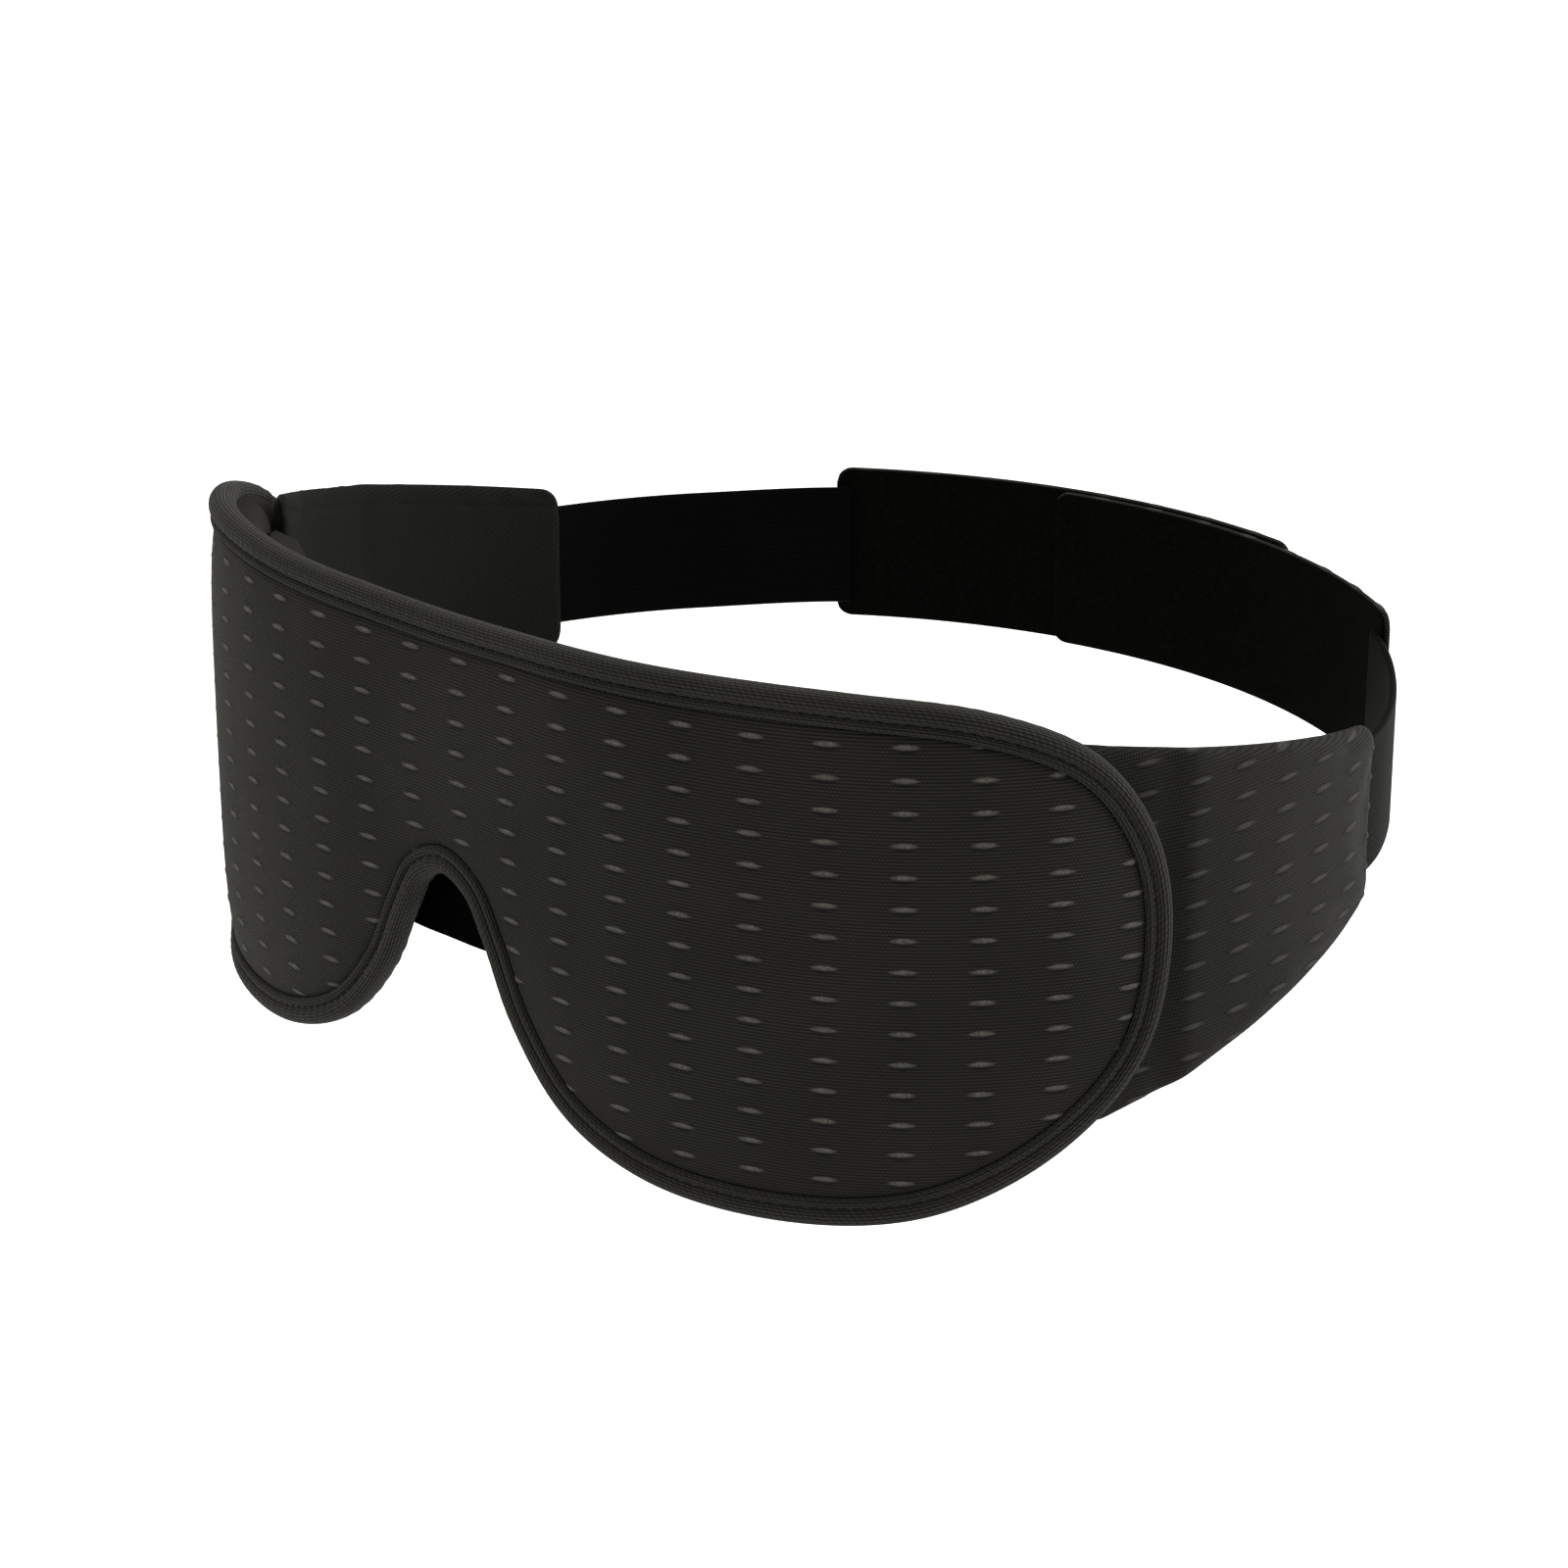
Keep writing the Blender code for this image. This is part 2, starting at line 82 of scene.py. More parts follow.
# Face cloth: its edge dives into the seam, its middle is crowned over the foam.
FACE_EDGE = 1.2 * MM
FACE_EDGE_DEPTH = 0.95 * MM
FACE_ROLL = 1.2 * MM
FACE_CROWN = 1.25 * MM
FACE_CROWN_REACH = 6.0 * MM
FACE_RINGS = [1.2, 1.35, 1.6, 2.0, 2.55, 3.0, 3.6, 4.4, 5.4]
FACE_GRID = 1.15 * MM

# Raised oval dimples of the knit: (column pitch, row pitch), half length, half height, rise.
FRONT_PITCH = (9.8 * MM, 4.21 * MM)
FRONT_FIRST_ROW = 25.55 * MM
WING_PITCH = (7.45 * MM, 4.24 * MM)
WING_FIRST_COLUMN = 92.9
WING_FIRST_ROW = 11.0 * MM
WING_SLANT = 0.106
DIMPLE_HALF = (2.1 * MM, 0.46 * MM)
DIMPLE_RISE = 0.2 * MM
DIMPLE_RINGS = [(0.0, 1), (0.4, 8), (0.75, 12), (1.0, 16), (1.25, 16), (1.6, 16)]
DIMPLE_COLUMNS = 11
DIMPLE_ROWS = 16

# Rolled rim, welt and the stitches between them.
RIM_INNER = -0.35 * MM
RIM_WIDTH = 2.95 * MM
RIM_FULLNESS = 0.86
RIM_DEPTH = (-0.8 * MM, 3.2 * MM)
RIM_STEP = 0.45 * MM
RIM_GATHER = (2.9 * MM, 7.3 * MM)
WELT_STEP = 0.16 * MM
WELT_INSET = 0.82 * MM
WELT_HALF = (0.66 * MM, 0.62 * MM)
WELT_DEPTH = -0.02 * MM
WELT_LAY = 0.95 * MM
STITCH_PITCH = 1.95 * MM
STITCH_OUT = -0.02 * MM
STITCH_DEPTH = -0.02 * MM
STITCH_GIRTH = 0.14 * MM

# Lining and pads behind the front; the flap hangs in the nose arch.
LINING_RINGS = [-0.6, -0.45, -0.25, 0.0, 0.35, 0.8, 1.4, 2.1, 3.0, 4.2, 6.0]
LINING_GRID = 2.4 * MM
LINING_DEPTH = 6.95 * MM
LINING_EDGE_DEPTH = 1.9 * MM
LINING_ROLL = 4.2 * MM
PAD_CENTRE = (55.0 * MM, -4.0 * MM)
PAD_INSET = 4.4 * MM
PAD_NOSE_LIMIT = 21.5 * MM
PAD_TEMPLE_LIMIT = 92.0 * MM
PAD_EYE_HOLE = (22.0 * MM, 15.0 * MM)
PAD_BASE = 7.3 * MM
PAD_HEIGHT = 4.5 * MM
FLAP_HALF_WIDTH = 20.5 * MM
FLAP_DEPTH = 8.3 * MM
FLAP_TOP = 3.0 * MM
FLAP_BOTTOM = -19.6 * MM
FLAP_CORNER = 4 * MM
FLAP_HEM = 1.6 * MM

# Strap ring: draw-in towards the temples as (amount, first angle, last angle); left 1.0, right -1.0.
RING_CENTRE_Y = -23.4 * MM
RING_RADIUS = 89.5 * MM
RING_DRAW_IN = {1.0: (8.3 * MM, 62.0, 108.0), -1.0: (7.5 * MM, 30.0, 112.0)}
BAND_STEP = {1.0: 0.8 * MM, -1.0: 3.05 * MM}
BAND_STEP_ANGLES = (32.0, 52.0)
WING_END_ANGLE = 68.2
WING_ROOT_END = 116.5
WING_TOP = {1.0: (13.3 * MM, 0.235 * MM), -1.0: (13.9 * MM, 0.3 * MM)}
WING_BOTTOM = (-11.2 * MM, -0.666 * MM, 0.0028 * MM)
WING_ROOT_BOTTOM = (-30.4 * MM, 1.3 * MM)
WING_ROOT_FROM = 101.5
WING_CORNER = 3.0 * MM
WING_HALF_THICKNESS = 1.4 * MM
WING_EDGE_ROUND = 1.35 * MM
WING_BLEND = (98.0, 91.4)
ROOT_ANGLES = (94.6, 96.1, 97.6, 100.0, 104.0, 107.0, 110.0, 113.0, 117.0)
ROOT_RADII = (82.6, 82.0, 81.5, 80.7, 79.45, 78.45, 77.4, 76.4, 75.0)
STRAP_Z = 1.7 * MM
STRAP_FOLD_ANGLE = 67.4
ELASTIC_END_ANGLE = 36.2
ELASTIC_HALF_HEIGHT = 9.85 * MM
BAND_ANGLES = (38.0, -14.4)
BAND_HALF_HEIGHT = 12.5 * MM
BAND_CORNER = 2.6 * MM
BAND_SHELL_MIDDLE = 1.5 * MM
BAND_INNER_MIDDLE = 0.88 * MM
BAND_EDGE_ROUND = 0.8 * MM

# Camera: how it stands to the mask.
CAMERA_AZIMUTH = math.radians(45.35)
CAMERA_ELEVATION = math.radians(19.67)
CAMERA_DISTANCE = 0.6085
CAMERA_TARGET = Vector((-0.0190, 0.0, -0.0185))
CAMERA_LENS = 91.575
FLOOR_DROP = 0.16

# Cloth simulation of the pads: run larger than life, for so many frames, then evened out.
CLOTH_SCALE = 12.0
CLOTH_FRAMES = 20
CLOTH_SMOOTHING = 8


# ---------------------------------------------------------------- curves

def smooth_step(t):
    t = np.clip(t, 0.0, 1.0)
    return t * t * (3.0 - 2.0 * t)


def front_points(s, z, depth):
    """Points at arc lengths s and heights z, depth behind the front's outer face."""
    s, z, depth = np.broadcast_arrays(np.asarray(s, float), np.asarray(z, float), np.asarray(depth, float))
    side = np.where(s < 0.0, -1.0, 1.0)
    left = np.abs(s)
    x, y, turn = np.zeros_like(left), np.full_like(left, FRONT_Y), np.zeros_like(left)
    for length, radius in FRONT_ARCS:
        run = np.minimum(left, length)
        if radius is None:
            x = x + run
        else:
            after = turn + run / radius
            x = x + radius * (np.sin(after) - np.sin(turn))
            y = y + radius * (np.cos(turn) - np.cos(after))
            turn = after
        left = left - run
    return np.stack([side * (x - depth * np.sin(turn)), y + depth * np.cos(turn), z], axis=-1)


def ring_radius(angle, side):
    draw_in, start, end = RING_DRAW_IN[side]
    band, free = BAND_STEP_ANGLES
    radius = RING_RADIUS - draw_in * smooth_step((np.abs(angle) - start) / (end - start))
    return radius + BAND_STEP[side] * smooth_step((free - np.abs(angle)) / (free - band))


def wing_radius(angle, side):
    """The wing's middle surface: the ring up to the fold, then the root's path behind the rim."""
    root = np.interp(angle, ROOT_ANGLES, ROOT_RADII) * MM
    share = smooth_step((np.asarray(angle) - 93.2) / 2.4)
    return ring_radius(angle, side) * (1.0 - share) + root * share


def polar_points(angle, radius, z, side):
    turn = np.radians(angle)
    x = side * radius * np.sin(turn)
    return np.stack(np.broadcast_arrays(x, RING_CENTRE_Y + radius * np.cos(turn), z), axis=-1)


def catmull_rom(points, per_span):
    """A centripetal curve through points; the neighbours past its ends are mirrored in s = 0."""
    knots = np.array(points) * MM
    mirror = np.array([-1.0, 1.0])
    run = np.vstack([knots[1] * mirror, knots, knots[-2] * mirror])
    fine = []
    for p0, p1, p2, p3 in zip(run, run[1:], run[2:], run[3:]):
        times = np.cumsum([0.0] + [math.sqrt(math.dist(a, b)) for a, b in ((p0, p1), (p1, p2), (p2, p3))])
        for t in np.linspace(times[1], times[2], per_span, endpoint=False):
            a1 = p0 + (p1 - p0) * (t - times[0]) / (times[1] - times[0])
            a2 = p1 + (p2 - p1) * (t - times[1]) / (times[2] - times[1])
            a3 = p2 + (p3 - p2) * (t - times[2]) / (times[3] - times[2])
            b1 = a1 + (a2 - a1) * (t - times[0]) / (times[2] - times[0])
            b2 = a2 + (a3 - a2) * (t - times[1]) / (times[3] - times[1])
            fine.append(b1 + (b2 - b1) * (t - times[1]) / (times[2] - times[1]))
    fine.append(knots[-1])
    return np.array(fine)


def closed_outline(step):
    """The whole stitch line at even steps: points, outward normals and arc lengths."""
    half = catmull_rom(STITCH_LINE, 60)
    mirror = np.array([-1.0, 1.0])
    whole = np.vstack([half, half[-2:0:-1] * mirror])
    loop = np.vstack([whole, whole[:1]])
    along = np.concatenate([[0.0], np.cumsum(np.linalg.norm(np.diff(loop, axis=0), axis=1))])
    count = int(round(along[-1] / step))
    even = np.linspace(0.0, along[-1], count, endpoint=False)
    points = np.column_stack([np.interp(even, along, loop[:, 0]), np.interp(even, along, loop[:, 1])])
    tangents = np.roll(points, -1, axis=0) - np.roll(points, 1, axis=0)
    reach = max(int(1.2 * MM / step), 1)
    smooth = sum(np.roll(tangents, k, axis=0) for k in range(-reach, reach + 1))
    smooth /= np.linalg.norm(smooth, axis=1, keepdims=True)
    return points, np.column_stack([-smooth[:, 1], smooth[:, 0]]), even, along[-1]


OUTLINE, OUTLINE_NORMALS, OUTLINE_ARC, OUTLINE_LENGTH = closed_outline(OUTLINE_STEP)


def edge_distance(points):
    """Distance inwards from the stitch line to each (s, z), negative outside it."""
    result = np.empty(len(points))
    for start in range(0, len(points), 1500):
        part = points[start:start + 1500]
        away = part[:, None, :] - OUTLINE[None, :, :]
        squared = (away * away).sum(axis=2)
        near = squared.argmin(axis=1)
        inside = -(away[np.arange(len(part)), near] * OUTLINE_NORMALS[near]).sum(axis=1)
        result[start:start + 1500] = np.sqrt(squared[np.arange(len(part)), near]) * np.sign(inside)
    return result


# ---------------------------------------------------------------- mesh helpers

def add_mesh(name, points, faces, material, corner_uv=None):
    """A smooth mesh object; corner_uv holds one (u, v) in metres for each corner of each face."""
    mesh = bpy.data.meshes.new(name)
    mesh.from_pydata(np.asarray(points).tolist(), [], [list(map(int, face)) for face in faces])
    if corner_uv is not None:
        layer = mesh.uv_layers.new(name="cloth")
        layer.data.foreach_set("uv", np.asarray(corner_uv, np.float32).ravel())
    mesh.shade_smooth()
    mesh.materials.append(material)
    obj = bpy.data.objects.new(name, mesh)
    bpy.context.scene.collection.objects.link(obj)
    return obj


def signed_volume(points, faces):
    a, b, c = points[faces[:, 0]], points[faces[:, 1]], points[faces[:, 2]]
    volume = np.einsum("ij,ij->i", a, np.cross(b, c)).sum()
    if faces.shape[1] == 4:
        d = points[faces[:, 3]]
        volume += np.einsum("ij,ij->i", a, np.cross(c, d)).sum()
    return volume


def add_ring(name, sections, material, u, v):
    """A closed ring of closed sections, sections[i, j] being a point; u and v are one longer than both."""
    count, size = sections.shape[:2]
    i, j = np.meshgrid(np.arange(count), np.arange(size), indexing="ij")
    i, j = i.ravel(), j.ravel()
    i2, j2 = (i + 1) % count, (j + 1) % size
    faces = np.column_stack([i * size + j, i * size + j2, i2 * size + j2, i2 * size + j])
    corners = ((i, j), (i, j + 1), (i + 1, j + 1), (i + 1, j))
    uv = np.stack([np.column_stack([u[a], v[b]]) for a, b in corners], axis=1)
    points = sections.reshape(-1, 3)
    if signed_volume(points, faces) < 0.0:
        faces, uv = faces[:, ::-1], uv[:, ::-1]
    return add_mesh(name, points, faces, material, uv.reshape(-1, 2))


def add_pillow(name, outer, inner, material, uv, back=None):
    """A closed pad from two equal grids of points that meet along their edges; back is the inner cloth."""
    rows, size = outer.shape[:2]
    number = np.arange(rows * size).reshape(rows, size)
    other = number + rows * size
    for edge in (np.s_[0, :], np.s_[-1, :], np.s_[:, 0], np.s_[:, -1]):
        other[edge] = number[edge]
    points = np.vstack([outer.reshape(-1, 3), inner.reshape(-1, 3)])
    used = np.unique(np.concatenate([number.ravel(), other.ravel()]))
    renumber = np.full(2 * rows * size, -1)
    renumber[used] = np.arange(len(used))
    quads, corners = [], []
    for grid, order in ((number, 1), (other, -1)):
        a, b, c, d = grid[:-1, :-1], grid[1:, :-1], grid[1:, 1:], grid[:-1, 1:]
        quads.append(np.stack([a, b, c, d], axis=-1).reshape(-1, 4)[:, ::order])
        ua, ub, uc, ud = uv[:-1, :-1], uv[1:, :-1], uv[1:, 1:], uv[:-1, 1:]
        corners.append(np.stack([ua, ub, uc, ud], axis=-2).reshape(-1, 4, 2)[:, ::order])
    faces, uvs, points = renumber[np.vstack(quads)], np.vstack(corners), points[used]
    if signed_volume(points, faces) < 0.0:
        faces, uvs = faces[:, ::-1], uvs[:, ::-1]
    pad = add_mesh(name, points, faces, material, uvs.reshape(-1, 2))
    if back is not None:
        pad.data.materials.append(back)
        sides = np.repeat([0, 1], len(faces) // 2)
        pad.data.polygons.foreach_set("material_index", sides.astype(np.int32))
    return pad


def clustered(start, end, count, strength=0.6):
    """Stations from start to end, closer together towards both ends."""
    t = np.linspace(0.0, 1.0, count)
    t = (1.0 - strength) * t + strength * 0.5 * (1.0 - np.cos(math.pi * t))
    return start + (end - start) * t


def corner_cut(distance, corner):
    """How much a rounded corner takes off an edge at a distance from the end."""
    near = np.clip(corner - distance, 0.0, corner)
    return corner - np.sqrt(corner * corner - near * near)


def lens(u, v):
    """Height, 0 to 1, of a lens-shaped dimple at an offset from its middle."""
    run = np.clip(1.0 - (u / DIMPLE_HALF[0]) ** 2, 0.0, 1.0)
    across = np.clip(1.0 - (v / (DIMPLE_HALF[1] * (0.25 + 0.75 * run))) ** 2, 0.0, 1.0)
    return np.sqrt(run) * across


def dimple_height(u, v, pitch):
    """Height of the dimple lattice whose dimples are centred in cells of the pitch."""
    du = (u / pitch[0] - np.floor(u / pitch[0]) - 0.5) * pitch[0]
    dv = (v / pitch[1] - np.floor(v / pitch[1]) - 0.5) * pitch[1]
    return lens(du, dv)


def inflate(obj, pinned, pressure, limit):
    """Cloth simulation of a sewn pad, its seams pinned and pressure inside; an even move within the limit."""
    mesh = obj.data
    before = np.array([vertex.co for vertex in mesh.vertices])
    mesh.vertices.foreach_set("co", (before * CLOTH_SCALE).ravel())
    group = obj.vertex_groups.new(name="seam")
    group.add([int(i) for i in pinned], 1.0, "REPLACE")
    cloth = obj.modifiers.new("cloth", "CLOTH")
    settings = cloth.settings
    settings.quality = 6
    settings.mass = 0.3
    settings.tension_stiffness = 12.0
    settings.compression_stiffness = 12.0
    settings.shear_stiffness = 4.0
    settings.bending_stiffness = 0.4
    settings.use_pressure = True
    settings.uniform_pressure_force = pressure
    settings.vertex_group_mass = group.name
    settings.effector_weights.gravity = 0.0
    settings.shrink_min = -0.03
    cloth.collision_settings.use_collision = False
    cloth.point_cache.frame_start = 1
    cloth.point_cache.frame_end = CLOTH_FRAMES
    scene = bpy.context.scene
    for number in range(1, CLOTH_FRAMES + 1):
        scene.frame_set(number)
    shaped = obj.evaluated_get(bpy.context.evaluated_depsgraph_get())
    after = np.array([vertex.co for vertex in shaped.data.vertices]) / CLOTH_SCALE
    obj.modifiers.remove(cloth)
    obj.vertex_groups.remove(group)
    scene.frame_set(1)
    move = after - before
    length = np.linalg.norm(move, axis=1, keepdims=True)
    move *= np.minimum(1.0, limit / np.maximum(length, 1e-9))
    ends = np.empty(2 * len(mesh.edges), dtype=int)
    mesh.edges.foreach_get("vertices", ends)
    starts, stops = ends.reshape(-1, 2).T
    count = np.bincount(ends, minlength=len(before))[:, None]
    for _ in range(CLOTH_SMOOTHING):
        around = np.zeros_like(move)
        np.add.at(around, starts, move[stops])
        np.add.at(around, stops, move[starts])
        move = 0.5 * move + 0.5 * around / np.maximum(count, 1)
        move[pinned] = 0.0
    mesh.vertices.foreach_set("co", (before + move).ravel())
    mesh.update()
    print(f"{obj.name}: largest cloth move {length.max() / MM:.2f} mm")


def subdivide(obj):
    """One level of subdivision, applied."""
    modifier = obj.modifiers.new("subdivide", "SUBSURF")
    modifier.levels = 1
    modifier.render_levels = 1
    with bpy.context.temp_override(object=obj, active_object=obj, selected_objects=[obj]):
        bpy.ops.object.modifier_apply(modifier=modifier.name)


# ---------------------------------------------------------------- materials

class Shader:
    """A Principled material whose maths is written as calls."""

    def __init__(self, name):
        self.material = bpy.data.materials.new(name)
        self.material.use_nodes = True
        self.tree = self.material.node_tree
        self.principled = self.tree.nodes["Principled BSDF"]

    def plug(self, socket, value):
        if isinstance(value, bpy.types.NodeSocket):
            self.tree.links.new(value, socket)
        elif isinstance(value, (tuple, list)):
            is_colour = len(value) == 3 and len(socket.default_value) == 4
            socket.default_value = (*value, 1.0) if is_colour else value
        else:
            socket.default_value = value

    def math(self, operation, *values):
        node = self.tree.nodes.new("ShaderNodeMath")
        node.operation = operation
        for socket, value in zip(node.inputs, values):
            self.plug(socket, value)
        return node.outputs[0]

    def mix(self, share, a, b):
        node = self.tree.nodes.new("ShaderNodeMix")
        node.data_type = "RGBA"
        self.plug(node.inputs[0], share)
        self.plug(node.inputs[6], a)
        self.plug(node.inputs[7], b)
        return node.outputs[2]

    def cloth_uv(self):
        node = self.tree.nodes.new("ShaderNodeUVMap")
        node.uv_map = "cloth"
        split = self.tree.nodes.new("ShaderNodeSeparateXYZ")
        self.tree.links.new(node.outputs[0], split.inputs[0])
        return split.outputs[0], split.outputs[1]

    def place(self):
        return self.tree.nodes.new("ShaderNodeTexCoord").outputs["Object"]

    def noise(self, scale, detail=2.0, roughness=0.5):
        node = self.tree.nodes.new("ShaderNodeTexNoise")
        self.plug(node.inputs["Vector"], self.place())
        node.inputs["Scale"].default_value = scale
        node.inputs["Detail"].default_value = detail
        node.inputs["Roughness"].default_value = roughness
        return node.outputs[0]

    def ramp(self, value, low, high):
        """value taken from low..high to a smooth 0..1."""
        node = self.tree.nodes.new("ShaderNodeMapRange")
        node.interpolation_type = "SMOOTHSTEP"
        self.plug(node.inputs[0], value)
        node.inputs[1].default_value = low
        node.inputs[2].default_value = high
        return node.outputs[0]

    def bump(self, height, distance):
        node = self.tree.nodes.new("ShaderNodeBump")
        node.inputs["Strength"].default_value = 1.0
        node.inputs["Distance"].default_value = distance
        self.plug(node.inputs["Height"], height)
        return node.outputs[0]

    def finish(self, colour, roughness, normal, sheen=0.2, specular=0.35):
        shader = self.principled.inputs
        self.plug(shader["Base Color"], colour)
        self.plug(shader["Roughness"], roughness)
        self.plug(shader["Normal"], normal)
        shader["Sheen Weight"].default_value = sheen
        shader["Sheen Roughness"].default_value = 0.45
        shader["Sheen Tint"].default_value = (0.5, 0.5, 0.48, 1.0)
        shader["Specular IOR Level"].default_value = specular
        return self.material


def slanted_stitches(shader, u, v, pitch, slant, skew):
    """Rows of small slanted stitches: height 0..1 of each, rows apart by pitch[1], stitches by pitch[0]."""
    rows = shader.math("DIVIDE", v, pitch[1])
    row = shader.math("FLOOR", rows)
    across = shader.math("FRACT", rows)
    run = shader.math("ADD", shader.math("DIVIDE", u, pitch[0]), shader.math("MULTIPLY", row, slant))
    run = shader.math("ADD", run, shader.math("MULTIPLY", across, skew))
    along = shader.math("FRACT", run)
    across_arch = shader.math("SINE", shader.math("MULTIPLY", across, math.pi))
    along_arch = shader.math("SINE", shader.math("MULTIPLY", along, math.pi))
    along_arch = shader.math("MULTIPLY_ADD", shader.math("MAXIMUM", along_arch, 0.0), 0.5, 0.5)
    return shader.math("MULTIPLY", shader.math("MAXIMUM", across_arch, 0.0), along_arch)


def toned(shader, dark, light, height, low, high):
    """Colour from the gaps to the tops of a weave, uneven over the cloth."""
    share = shader.ramp(height, low, high)
    weave = shader.mix(share, dark, light)
    tone = shader.ramp(shader.noise(38.0, 3.0), 0.25, 0.75)
    worn = shader.mix(tone, (0.78, 0.78, 0.78), (1.12, 1.12, 1.12))
    node = shader.tree.nodes.new("ShaderNodeMix")
    node.data_type = "RGBA"
    node.blend_type = "MULTIPLY"
    node.inputs[0].default_value = 1.0
    shader.plug(node.inputs[6], weave)
    shader.plug(node.inputs[7], worn)
    return node.outputs[2]


def knit_material(name, pitch, stitch, slant, skew, dark, light, crown_highlight):
    """Fine ribbed knit with raised lens-shaped dimples, each painted paler on top as a highlight, with a
    painted shadow under it.
    """
    shader = Shader(name)
    u, v = shader.cloth_uv()
    stitches = slanted_stitches(shader, u, v, stitch, slant, skew)
    base = toned(shader, dark, light, stitches, 0.1, 0.95)

    def cell(value, size):
        share = shader.math("SUBTRACT", shader.math("FRACT", shader.math("DIVIDE", value, size)), 0.5)
        return shader.math("MULTIPLY", share, size)

    def lens_mask(du, dv, low, high):
        long_part = shader.math("POWER", shader.math("DIVIDE", du, DIMPLE_HALF[0]), 2.0)
        run = shader.math("MAXIMUM", shader.math("SUBTRACT", 1.0, long_part), 0.0)
        half = shader.math("MULTIPLY", shader.math("MULTIPLY_ADD", run, 0.75, 0.25), DIMPLE_HALF[1])
        part = shader.math("POWER", shader.math("DIVIDE", dv, half), 2.0)
        across = shader.math("MAXIMUM", shader.math("SUBTRACT", 1.0, part), 0.0)
        return shader.ramp(shader.math("MULTIPLY", run, across), low, high)

    du, dv = cell(u, pitch[0]), cell(v, pitch[1])
    # Painted highlight: the crown of each dimple is mixed to a paler colour, lighter towards its upper side.
    crown = lens_mask(du, shader.math("SUBTRACT", dv, 0.05 * MM), 0.02, 0.95)
    # Painted shadow: the same lens shifted below each dimple, where its underside throws shade.
    under_shadow = lens_mask(du, shader.math("ADD", dv, 0.5 * MM), 0.2, 0.9)
    upper_light = shader.math("MULTIPLY_ADD", shader.ramp(dv, -0.32 * MM, 0.3 * MM), 0.65, 0.35)
    grain = shader.noise(2600.0, 1.0)
    # Colour of the painted highlight: from a dim grey to the highlight colour, speckled by the grain and
    # stronger on the upper side.
    pale = shader.mix(shader.math("MULTIPLY", grain, upper_light), (0.016, 0.0155, 0.014), crown_highlight)
    # The painted shadow darkens the knit under each dimple.
    shadowed = shader.mix(shader.math("MULTIPLY", under_shadow, 0.65), base, (0.0016, 0.0016, 0.0015))
    colour = shader.mix(crown, shadowed, pale)
    normal = shader.bump(stitches, 0.1 * MM)
    return shader.finish(colour, 0.75, normal, sheen=0.03, specular=0.06)


def twill_material(name, pitch, slant, skew, dark, light, depth=0.12, sheen=0.06):
    """Plain cloth of slanted floats, as on the rolled rim and the welt."""
    shader = Shader(name)
    u, v = shader.cloth_uv()
    stitches = slanted_stitches(shader, u, v, pitch, slant, skew)
    colour = toned(shader, dark, light, stitches, 0.1, 0.9)
    normal = shader.bump(stitches, depth * MM)
    return shader.finish(colour, 0.78, normal, sheen=sheen, specular=0.06)


def brushed_material(name, dark, light, sheen=0.03):
    """Soft brushed lining: short fibres in no direction, with faint worn patches."""
    shader = Shader(name)
    fibres = shader.noise(1500.0, 4.0, 0.7)
    patches = shader.ramp(shader.noise(60.0, 3.0), 0.3, 0.7)
    base = shader.mix(shader.ramp(fibres, 0.3, 0.7), dark, light)
    colour = shader.mix(shader.math("MULTIPLY", patches, 0.35), base, light)
    normal = shader.bump(fibres, 0.15 * MM)
    return shader.finish(colour, 0.9, normal, sheen=sheen, specular=0.012)


def woven_material(name, pitch, dark, light):
    """Flat woven elastic: ribs along the tape crossed by fine weft."""
    shader = Shader(name)
    u, v = shader.cloth_uv()
    ribs = shader.math("SINE", shader.math("MULTIPLY", v, 2.0 * math.pi / pitch[1]))
    weft = shader.math("SINE", shader.math("MULTIPLY", u, 2.0 * math.pi / pitch[0]))
    height = shader.math("MULTIPLY_ADD", shader.math("MULTIPLY", ribs, weft), 0.35,
                         shader.math("MULTIPLY_ADD", ribs, 0.15, 0.5))
    colour = toned(shader, dark, light, height, 0.1, 0.9)
    normal = shader.bump(height, 0.1 * MM)
    return shader.finish(colour, 0.7, normal, sheen=0.0, specular=0.02)


def foam_material():
    """Open-cell foam, unseen unless the cloth is opened."""
    shader = Shader("foam_cells")
    cells = shader.tree.nodes.new("ShaderNodeTexVoronoi")
    shader.plug(cells.inputs["Vector"], shader.place())
    cells.inputs["Scale"].default_value = 1400.0
    colour = shader.mix(cells.outputs["Distance"], (0.03, 0.03, 0.03), (0.09, 0.09, 0.088))
    normal = shader.bump(cells.outputs["Distance"], 0.3 * MM)
    return shader.finish(colour, 0.95, normal, sheen=0.0)


def hook_material():
    """Rows of fine nylon hooks."""
    shader = Shader("hook_rows")
    cells = shader.tree.nodes.new("ShaderNodeTexVoronoi")
    shader.plug(cells.inputs["Vector"], shader.place())
    cells.inputs["Scale"].default_value = 900.0
    cells.inputs["Randomness"].default_value = 0.35
    hooks = shader.ramp(cells.outputs["Distance"], 0.5, 0.0)
    colour = shader.mix(hooks, (0.004, 0.004, 0.004), (0.020, 0.020, 0.020))
    normal = shader.bump(hooks, 0.4 * MM)
    return shader.finish(colour, 0.45, normal, sheen=0.0, specular=0.5)


def thread_material():
    shader = Shader("sewing_thread")
    twist = shader.noise(4000.0, 1.0)
    colour = shader.mix(twist, (0.012, 0.012, 0.011), (0.035, 0.034, 0.032))
    return shader.finish(colour, 0.6, shader.bump(twist, 0.03 * MM), sheen=0.1)


# ---------------------------------------------------------------- the front

